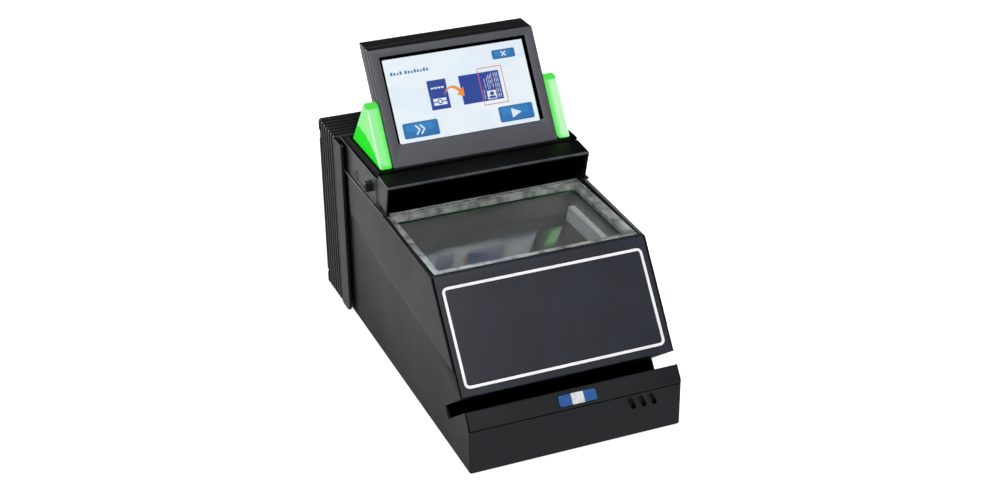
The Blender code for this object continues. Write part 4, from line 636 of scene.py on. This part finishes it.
dress(RUBBER, *(name for name in NODES if name.startswith("foot_")))


# Softened edges
def soften(width, *names):
    """Rounds the sharp edges a little, as any moulding has them, so that they catch light."""
    for name in names:
        node = NODES[name]
        weld = node.modifiers.new("weld", "WELD")
        weld.merge_threshold = 0.002 * MM
        bevel = node.modifiers.new("edge", "BEVEL")
        bevel.width = width
        bevel.segments = 2
        bevel.limit_method = "ANGLE"
        bevel.angle_limit = SHARP
        bevel.use_clamp_overlap = False
        bevel.miter_outer = "MITER_ARC"
        normal = node.modifiers.new("normal", "WEIGHTED_NORMAL")
        normal.weight = 90


soften(0.25 * MM, "base_shell", "hood", "dock_cover", "rear_sleeve", "display_bezel",
       "display_back", "front_cover", "front_lip", "power_button")


# Pieces
def placed(name, data):
    """A new object in the scene."""
    made = bpy.data.objects.new(name, data)
    bpy.context.scene.collection.objects.link(made)
    return made


def mesh_data(name, mesh):
    data = bpy.data.meshes.new(name)
    mesh.to_mesh(data)
    mesh.free()
    return data


def piece(name, mesh, body, materials, smooth=False):
    data = mesh_data(name, mesh)
    if smooth:
        data.shade_smooth()
        data.set_sharp_from_angle(angle=SHARP)
    for material in materials:
        data.materials.append(material)
    made = placed(name, data)
    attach(made, body)


# Screen picture
class Screen:
    """The front face of the panel: its visible part as shares across and down."""

    def __init__(self, border):
        points = [v.co for v in NODES["lcd_panel"].data.vertices]
        centre = sum(points, Vector()) / len(points)
        outs = [(point - centre).dot(OUT) for point in points]
        ups = [(point - centre).dot(RISE) for point in points]
        xs = [point.x for point in points]
        self.width = max(xs) - min(xs) - 2 * border
        self.height = max(ups) - min(ups) - 2 * border
        self.corner = centre + OUT * max(outs) + RISE * (max(ups) - border)
        self.corner.x = min(xs) + border

    def point(self, u, v, lift):
        across = Vector((u * self.width, 0, 0))
        return self.corner + across - RISE * (v * self.height) + OUT * lift


SCREEN = Screen(2.8 * MM)
LAYER = 0.03 * MM


class Drawing:
    """Flat shapes on the screen, one above another, each with a colour by its number."""

    def __init__(self):
        self.mesh = bmesh.new()
        self.ratio = SCREEN.width / SCREEN.height

    def shape(self, points, colour, layer):
        verts = [self.mesh.verts.new(SCREEN.point(u, v, layer * LAYER)) for u, v in points]
        face = self.mesh.faces.new(verts)
        face.material_index = colour
        face.normal_update()
        if face.normal.dot(OUT) < 0:
            face.normal_flip()

    def block(self, left, top, right, bottom, colour, layer, radius=0.0):
        if not radius:
            self.shape([(left, top), (right, top), (right, bottom), (left, bottom)], colour, layer)
            return
        points = []
        tall = radius * self.ratio
        corners = ((right - radius, bottom - tall, 0), (left + radius, bottom - tall, 90),
                   (left + radius, top + tall, 180), (right - radius, top + tall, 270))
        for u, v, first in corners:
            for step in range(5):
                turn = math.radians(first + 22.5 * step)
                points.append((u + radius * math.cos(turn), v + tall * math.sin(turn)))
        self.shape(points, colour, layer)

    def across(self, start, end, width):
        """Half of a width, turned square to the way from one point to another."""
        du, dv = end[0] - start[0], (end[1] - start[1]) / self.ratio
        size = math.hypot(du, dv)
        return -dv / size * width / 2, du / size * width / 2 * self.ratio

    def line(self, points, width, colour, layer):
        """A band of even width along points given in shares."""
        for (u0, v0), (u1, v1) in zip(points, points[1:]):
            nu, nv = self.across((u0, v0), (u1, v1), width)
            self.shape([(u0 + nu, v0 + nv), (u1 + nu, v1 + nv), (u1 - nu, v1 - nv), (u0 - nu, v0 - nv)],
                       colour, layer)

    def ring(self, left, top, right, bottom, width, colour, layer):
        tall = width * self.ratio
        self.block(left, top, right, top + tall, colour, layer)
        self.block(left, bottom - tall, right, bottom, colour, layer)
        self.block(left, top + tall, left + width, bottom - tall, colour, layer)
        self.block(right - width, top + tall, right, bottom - tall, colour, layer)


PALE, SKY, BLUE, LIGHT_BLUE, BRIGHT_BLUE, NAVY, INK, ORANGE, RED, MASK = range(10)
SCREEN_COLOURS = [
    picture("screen_white", (0.88, 0.95, 1.0)),
    picture("screen_sky", (0.83, 0.92, 1.0)),
    picture("screen_blue", (0.006, 0.11, 0.34)),
    picture("screen_light_blue", (0.008, 0.17, 0.48)),
    picture("screen_bright_blue", (0.014, 0.23, 0.57)),
    picture("screen_navy", (0.008, 0.047, 0.32)),
    picture("screen_ink", (0.86, 0.9, 0.96)),
    picture("screen_orange", (0.9, 0.3, 0.012)),
    picture("screen_red", (0.78, 0.1, 0.08)),
    picture("screen_mask", (0.001, 0.001, 0.001), 0.0),
]


def draw_button(art, left, top, right, bottom):
    """A raised button: a dark rim round a face that is lighter in its middle."""
    inset = 0.007
    tall = inset * art.ratio
    middle = (top + bottom) / 2
    art.block(left, top, right, bottom, BLUE, 2, 0.012)
    art.block(left + inset, top + tall, right - inset, bottom - tall, LIGHT_BLUE, 3, 0.008)
    art.block(left + 3 * inset, top + 1.6 * tall, right - 5 * inset, middle + tall,
              BRIGHT_BLUE, 4, 0.012)


def draw_booklet(art):
    """A closed booklet, with four bars across it and a plain mark on a light band."""
    left, top, right, bottom = 0.273, 0.32, 0.406, 0.67
    high, low = bottom - 0.13, bottom - 0.05
    middle, centre, half = (left + right) / 2, (high + low) / 2, 0.046
    art.block(left, top, right, bottom, NAVY, 2)
    for index in range(4):
        start = middle - half + 0.024 * index
        art.block(start, top + 0.085, start + 0.018, top + 0.105, INK, 3)
    art.block(middle - half, high, middle + half, low, INK, 3)
    art.block(middle - half, centre - 0.006, middle + half, centre + 0.006, NAVY, 4)
    art.block(middle - 0.017, high + 0.01, middle + 0.017, low - 0.01, NAVY, 5, 0.015)
    art.block(middle - 0.01, high + 0.022, middle + 0.01, low - 0.022, INK, 6, 0.009)


def draw_open_booklet(art):
    """An open booklet, with broken lines that run down it, a portrait and a red frame round its page."""
    left, top, right, bottom = 0.498, 0.32, 0.785, 0.665
    columns = ((0.654, 0.53, 0.65), (0.671, 0.4, 0.53), (0.69, 0.39, 0.53), (0.702, 0.36, 0.53),
               (0.714, 0.36, 0.49), (0.726, 0.345, 0.53), (0.745, 0.345, 0.645),
               (0.757, 0.345, 0.645), (0.769, 0.345, 0.645))
    dash, pitch = 0.05, 0.062
    art.block(left, top, right, bottom, NAVY, 2)
    for u, start, end in columns:
        while start < end:
            art.block(u, start, u + 0.0035, min(start + dash, end), INK, 3)
            start += pitch
    art.block(0.674, 0.548, 0.737, 0.65, INK, 4)
    art.block(0.692, 0.562, 0.722, 0.608, NAVY, 5, 0.014)
    art.block(0.684, 0.614, 0.73, 0.642, NAVY, 5, 0.006)
    art.ring(0.638, 0.268, 0.812, 0.715, 0.005, RED, 6)


def draw_arrow(art):
    """A swoosh that starts thin, climbs and comes down into its head."""
    path = [(0.379, 0.512, 0.002), (0.388, 0.48, 0.006), (0.404, 0.45, 0.011), (0.422, 0.434, 0.014),
            (0.44, 0.432, 0.017), (0.458, 0.441, 0.02), (0.475, 0.462, 0.022), (0.49, 0.494, 0.023)]
    sides = []
    for index, (u, v, width) in enumerate(path):
        before, after = path[max(index - 1, 0)], path[min(index + 1, len(path) - 1)]
        nu, nv = art.across(before, after, width)
        sides.append(((u + nu, v + nv), (u - nu, v - nv)))
    for (low, high), (next_low, next_high) in zip(sides, sides[1:]):
        art.shape([low, next_low, next_high, high], ORANGE, 7)
    art.shape([(0.519, 0.448), (0.462, 0.535), (0.514, 0.562)], ORANGE, 7.5)


def draw_symbols(art):
    """A cross, a forward triangle and a double arrow, and two rows of small bars at the top left."""
    for rise in (1, -1):
        art.line([(0.834, 0.139 - 0.028 * rise), (0.865, 0.139 + 0.028 * rise)], 0.008, INK, 5)
    art.shape([(0.815, 0.795), (0.884, 0.853), (0.815, 0.911)], INK, 5)
    for start in (0.132, 0.165):
        art.line([(start, 0.806), (start + 0.027, 0.86), (start, 0.914)], 0.01, INK, 5)
    for start, count in ((0.042, 4), (0.141, 8)):
        for index in range(count):
            left = start + 0.0215 * index
            art.block(left, 0.156 + 0.008 * (index % 3), left + 0.0145, 0.196, LIGHT_BLUE, 3, 0.004)


def build_screen():
    art = Drawing()
    art.block(-0.04, -0.06, 1.04, 1.06, MASK, 0)
    art.block(0.0, 0.0, 1.0, 1.0, SKY, 1)
    for points in (
        [(0.0, 0.0), (0.62, 0.0), (0.3, 0.42), (0.0, 0.3)],
        [(0.55, 0.5), (1.0, 0.2), (1.0, 0.72), (0.7, 1.0)],
        [(0.0, 0.55), (0.28, 0.72), (0.1, 1.0), (0.0, 1.0)],
        [(0.3, 0.7), (0.62, 0.62), (0.55, 1.0), (0.36, 1.0)],
    ):
        art.shape(points, PALE, 1.5)
    for area in ((0.767, 0.084, 0.932, 0.194), (0.725, 0.76, 0.97, 0.947), (0.045, 0.768, 0.292, 0.95)):
        draw_button(art, *area)
    draw_booklet(art)
    draw_open_booklet(art)
    draw_arrow(art)
    draw_symbols(art)
    piece("screen_picture", art.mesh, "display", SCREEN_COLOURS)


build_screen()


# Insides of the rear sockets
def bridge(mesh, rings, material=0):
    """Faces between each ring of vertices and the next one."""
    for first, second in zip(rings, rings[1:]):
        for index in range(len(first)):
            after = (index + 1) % len(first)
            face = mesh.faces.new((first[index], first[after], second[after], second[index]))
            face.material_index = material


def tube(mesh, rings, material=0):
    """A solid through rings of vertices, closed at both ends."""
    bridge(mesh, rings, material)
    for end in (rings[0], rings[-1]):
        mesh.faces.new(end).material_index = material


def slab(mesh, low, high, cut=0.1 * MM, material=0):
    """A bar along Y with its four long edges cut off."""
    (x0, y0, z0), (x1, y1, z1) = low, high
    ring = [(x0 + cut, z0), (x1 - cut, z0), (x1, z0 + cut), (x1, z1 - cut),
            (x1 - cut, z1), (x0 + cut, z1), (x0, z1 - cut), (x0, z0 + cut)]
    tube(mesh, [[mesh.verts.new((x, y, z)) for x, z in ring] for y in (y0, y1)], material)


def closed(mesh):
    """The mesh, with its faces turned outwards."""
    bmesh.ops.recalc_face_normals(mesh, faces=mesh.faces)
    return mesh


def mouth(name):
    """The middle across, the half width and the height and depth of a socket's opening."""
    wall, floor_depth = 1 * MM, 2 * MM
    low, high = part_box(name)
    middle, half = (low.x + high.x) / 2, (high.x - low.x) / 2 - wall
    return middle, half, low.z + wall, high.z - wall, low.y + floor_depth, high.y


def tongue(name):
    """The tongue in the upper half of a bus socket, with four contacts under it."""
    middle, half, bottom, top, deep, rear = mouth(name)
    mesh = bmesh.new()
    under, reach = (bottom + top) / 2, half - 0.6 * MM
    slab(mesh, (middle - reach, deep + 0.1 * MM, under),
         (middle + reach, rear - 1.6 * MM, top - 0.5 * MM), 0.25 * MM)
    for place in (-3.5, -1.0, 1.0, 3.5):
        at = middle + place * MM
        slab(mesh, (at - 0.5 * MM, deep + 0.6 * MM, under - 0.14 * MM),
             (at + 0.5 * MM, rear - 2.2 * MM, under + 0.05 * MM), 0.04 * MM, 1)
    piece(name.replace("socket", "tongue"), closed(mesh), "housing", [TONGUE, GOLD])


def comb(name):
    """A network socket's lining, with eight sprung contacts that slope down from its roof."""
    middle, half, bottom, top, deep, rear = mouth(name)
    mesh = bmesh.new()
    gap, wall, near = 0.1 * MM, 1.1 * MM, rear - 0.8 * MM
    left, right = middle - half + gap, middle + half - gap
    low, high, back = bottom + gap, top - gap, deep + gap
    inside = back + wall
    slab(mesh, (left, back, low), (right, inside, high))
    slab(mesh, (left, inside, low), (right, near, low + wall))
    slab(mesh, (left, inside, high - wall), (right, near, high))
    for edge in (left, right - wall):
        slab(mesh, (edge, inside, low + wall), (edge + wall, near, high - wall))
    count, pitch, half_wide, thick = 8, 1.2 * MM, 0.22 * MM, 0.3 * MM
    centre = (low + high) / 2
    path = [(near - 2.2 * MM, high - wall), (near - 3 * MM, high - wall - 0.9 * MM),
            (inside + 1.2 * MM, centre), (inside, centre - 0.3 * MM)]
    for index in range(count):
        at = middle + (index - (count - 1) / 2) * pitch
        near_x, far_x = at - half_wide, at + half_wide
        corners = ((near_x, 0.0), (far_x, 0.0), (far_x, thick), (near_x, thick))
        tube(mesh, [[mesh.verts.new((x, y, z + lift)) for x, lift in corners] for y, z in path], 1)
    piece(name.replace("socket", "comb"), closed(mesh), "housing", [SHADOW, GOLD])


def barrel(name):
    """A power jack's face plate with its round bore, and the pin on the bore's middle."""
    middle, half, bottom, top, deep, rear = mouth(name)
    mesh = bmesh.new()
    tall, centre = (top - bottom) / 2, (top + bottom) / 2
    steps, gap, least = 32, 0.1 * MM, 1e-6
    turns = [math.tau * step / steps for step in range(steps)]
    ways = [(math.cos(turn), math.sin(turn)) for turn in turns]
    bore = [2.9 * MM] * steps
    border = [min((half - gap) / max(abs(across), least), (tall - gap) / max(abs(up), least))
              for across, up in ways]

    def ring(y, reaches):
        """Points round the middle, as far out in each direction as its reach says."""
        return [mesh.verts.new((middle + across * reach, y, centre + up * reach))
                for (across, up), reach in zip(ways, reaches)]

    face, floor_at = rear - 1.2 * MM, deep + gap
    rings = [ring(face, border), ring(face, bore), ring(floor_at, bore), ring(floor_at, border)]
    bridge(mesh, rings + rings[:1])
    pin = ((floor_at, 1.0), (rear - 3.2 * MM, 1.0), (rear - 2.6 * MM, 0.85), (rear - 2.3 * MM, 0.5))
    tube(mesh, [ring(y, [radius * MM] * steps) for y, radius in pin], 1)
    piece(name.replace("jack", "barrel"), closed(mesh), "housing", [SHADOW, STEEL], True)


tongue("usb_socket_a")
tongue("usb_socket_b")
comb("network_socket")
barrel("power_jack")


def power_symbol(across, high):
    """The raised ring and bar beside the power button."""
    reach, width = 2.8 * MM, 0.7 * MM
    outside = Vector((-0.1, across, high))
    surface = NODES["dock_cover"].ray_cast(outside, Vector((1.0, 0.0, 0.0)))[1].x
    outer, inner = surface - 0.14 * MM, surface - 0.02 * MM
    mesh = bmesh.new()

    def strip(points):
        """A raised band through pairs of points, each pair being its two edges."""
        tube(mesh, [[mesh.verts.new((x, y, z)) for x, (y, z) in
                     ((inner, left), (outer, left), (outer, right), (inner, right))]
                    for left, right in points])

    start, sweep, steps = 128, 284, 24
    turns = [math.radians(start + sweep * step / steps) for step in range(steps + 1)]
    strip([[(across + math.cos(turn) * size, high + math.sin(turn) * size)
            for size in (reach - width / 2, reach + width / 2)] for turn in turns])
    strip([[(across - width / 2, level), (across + width / 2, level)]
           for level in (high + 0.2 * MM, high + reach, high + reach + 0.6 * MM)])
    piece("power_symbol", closed(mesh), "housing", [SHADOW])


power_symbol(61 * MM, 113.5 * MM)


# Stage
def floor():
    mesh = bmesh.new()
    bmesh.ops.create_circle(mesh, cap_ends=True, cap_tris=False, segments=96, radius=14.0)
    data = mesh_data("floor", mesh)
    made = placed("floor", data)
    made.location.z = cad_box[0][2] - 0.05 * MM
    recipe = Recipe("floor_white")
    recipe.surface("Base Color", (0.82, 0.82, 0.82, 1.0))
    recipe.surface("Roughness", recipe.spread(recipe.noise(6.0), 0.6, 0.7))
    recipe.surface("Specular IOR Level", 0.1)
    path = recipe.node("ShaderNodeLightPath").outputs
    bent = recipe.most(path["Is Glossy Ray"], path["Is Transmission Ray"])
    seen = recipe.most(path["Is Camera Ray"], recipe.product(bent, 0.1))
    recipe.surface("Emission Color", (1.0, 1.0, 1.0, 1.0))
    recipe.surface("Emission Strength", recipe.product(seen, 0.8))
    data.materials.append(recipe.material)


def world():
    """White behind all for the camera and low in reflections, and dim light from the left and front."""
    made = bpy.data.worlds.new("studio")
    bpy.context.scene.world = made
    made.use_nodes = True
    made.node_tree.nodes.clear()
    studio = Nodes(made.node_tree)

    def ramp(value, start, end):
        eased = studio.node("ShaderNodeMapRange", {"interpolation_type": "SMOOTHSTEP"}, Value=value,
                            From_Min=start, From_Max=end)
        return eased.outputs["Result"]

    spot = studio.node("ShaderNodeTexCoord").outputs["Generated"]
    axes = studio.node("ShaderNodeSeparateXYZ", Vector=spot).outputs
    left = studio.product(ramp(axes["X"], 0.3, -0.9), 0.04)
    front = studio.product(ramp(axes["Y"], 0.3, -0.8), 0.04)
    ambient = studio.maths("ADD", studio.maths("ADD", left, front), 0.04)
    path = studio.node("ShaderNodeLightPath").outputs
    bent = studio.most(path["Is Glossy Ray"], path["Is Transmission Ray"])
    horizon = ramp(axes["Z"], 0.12, 0.02)
    seen = studio.most(path["Is Camera Ray"], studio.product(bent, horizon))
    dim = studio.node("ShaderNodeBackground", Color=(0.95, 0.97, 1.0, 1.0), Strength=ambient)
    white = studio.node("ShaderNodeBackground", Color=(1.0, 1.0, 1.0, 1.0), Strength=1.0)
    mix = studio.node("ShaderNodeMixShader", Fac=seen)
    studio.put(mix, 1, dim.outputs[0])
    studio.put(mix, 2, white.outputs[0])
    studio.node("ShaderNodeOutputWorld", Surface=mix.outputs[0])


BODY_MIDDLE = Vector((0.0, 0.0, 0.08))


def softbox(name, place, size, power, colour=(1.0, 1.0, 1.0)):
    """A lamp with a rectangular face, aimed at the middle of the body."""
    data = bpy.data.lights.new(name, "AREA")
    data.shape = "RECTANGLE"
    data.size, data.size_y = size
    data.energy = power
    data.color = colour
    made = placed(name, data)
    made.location = place
    made.rotation_euler = (BODY_MIDDLE - Vector(place)).to_track_quat("-Z", "Y").to_euler()


CAMERA_PLACE = (-0.38003, -0.94227, 0.59318)
CAMERA_TURNS = (-22.24, 27.10, -0.78)
FOCAL_LENGTH = 63.918


def camera():
    """The photograph's own view, as azimuth, elevation and roll in degrees."""
    data = bpy.data.cameras.new("camera")
    data.sensor_width = 36.0
    data.lens = FOCAL_LENGTH
    made = placed("camera", data)
    azimuth, elevation, roll = (math.radians(angle) for angle in CAMERA_TURNS)
    back = Vector((math.sin(azimuth) * math.cos(elevation),
                   -math.cos(azimuth) * math.cos(elevation), math.sin(elevation)))
    right = Vector((math.cos(azimuth), math.sin(azimuth), 0.0))
    up = back.cross(right)
    turned_right = math.cos(roll) * right + math.sin(roll) * up
    turned_up = math.cos(roll) * up - math.sin(roll) * right
    turn = Matrix((turned_right, turned_up, back)).transposed().to_4x4()
    made.matrix_world = Matrix.Translation(CAMERA_PLACE) @ turn
    bpy.context.scene.camera = made


floor()
world()
softbox("key", (-0.22, -0.8, 1.34), (0.7, 0.7), 22.0)
softbox("left", (-0.799, 1.236, 0.38), (1.2, 0.6), 14.0, (0.98, 0.98, 1.0))
camera()
bpy.context.scene.view_settings.view_transform = "Standard"
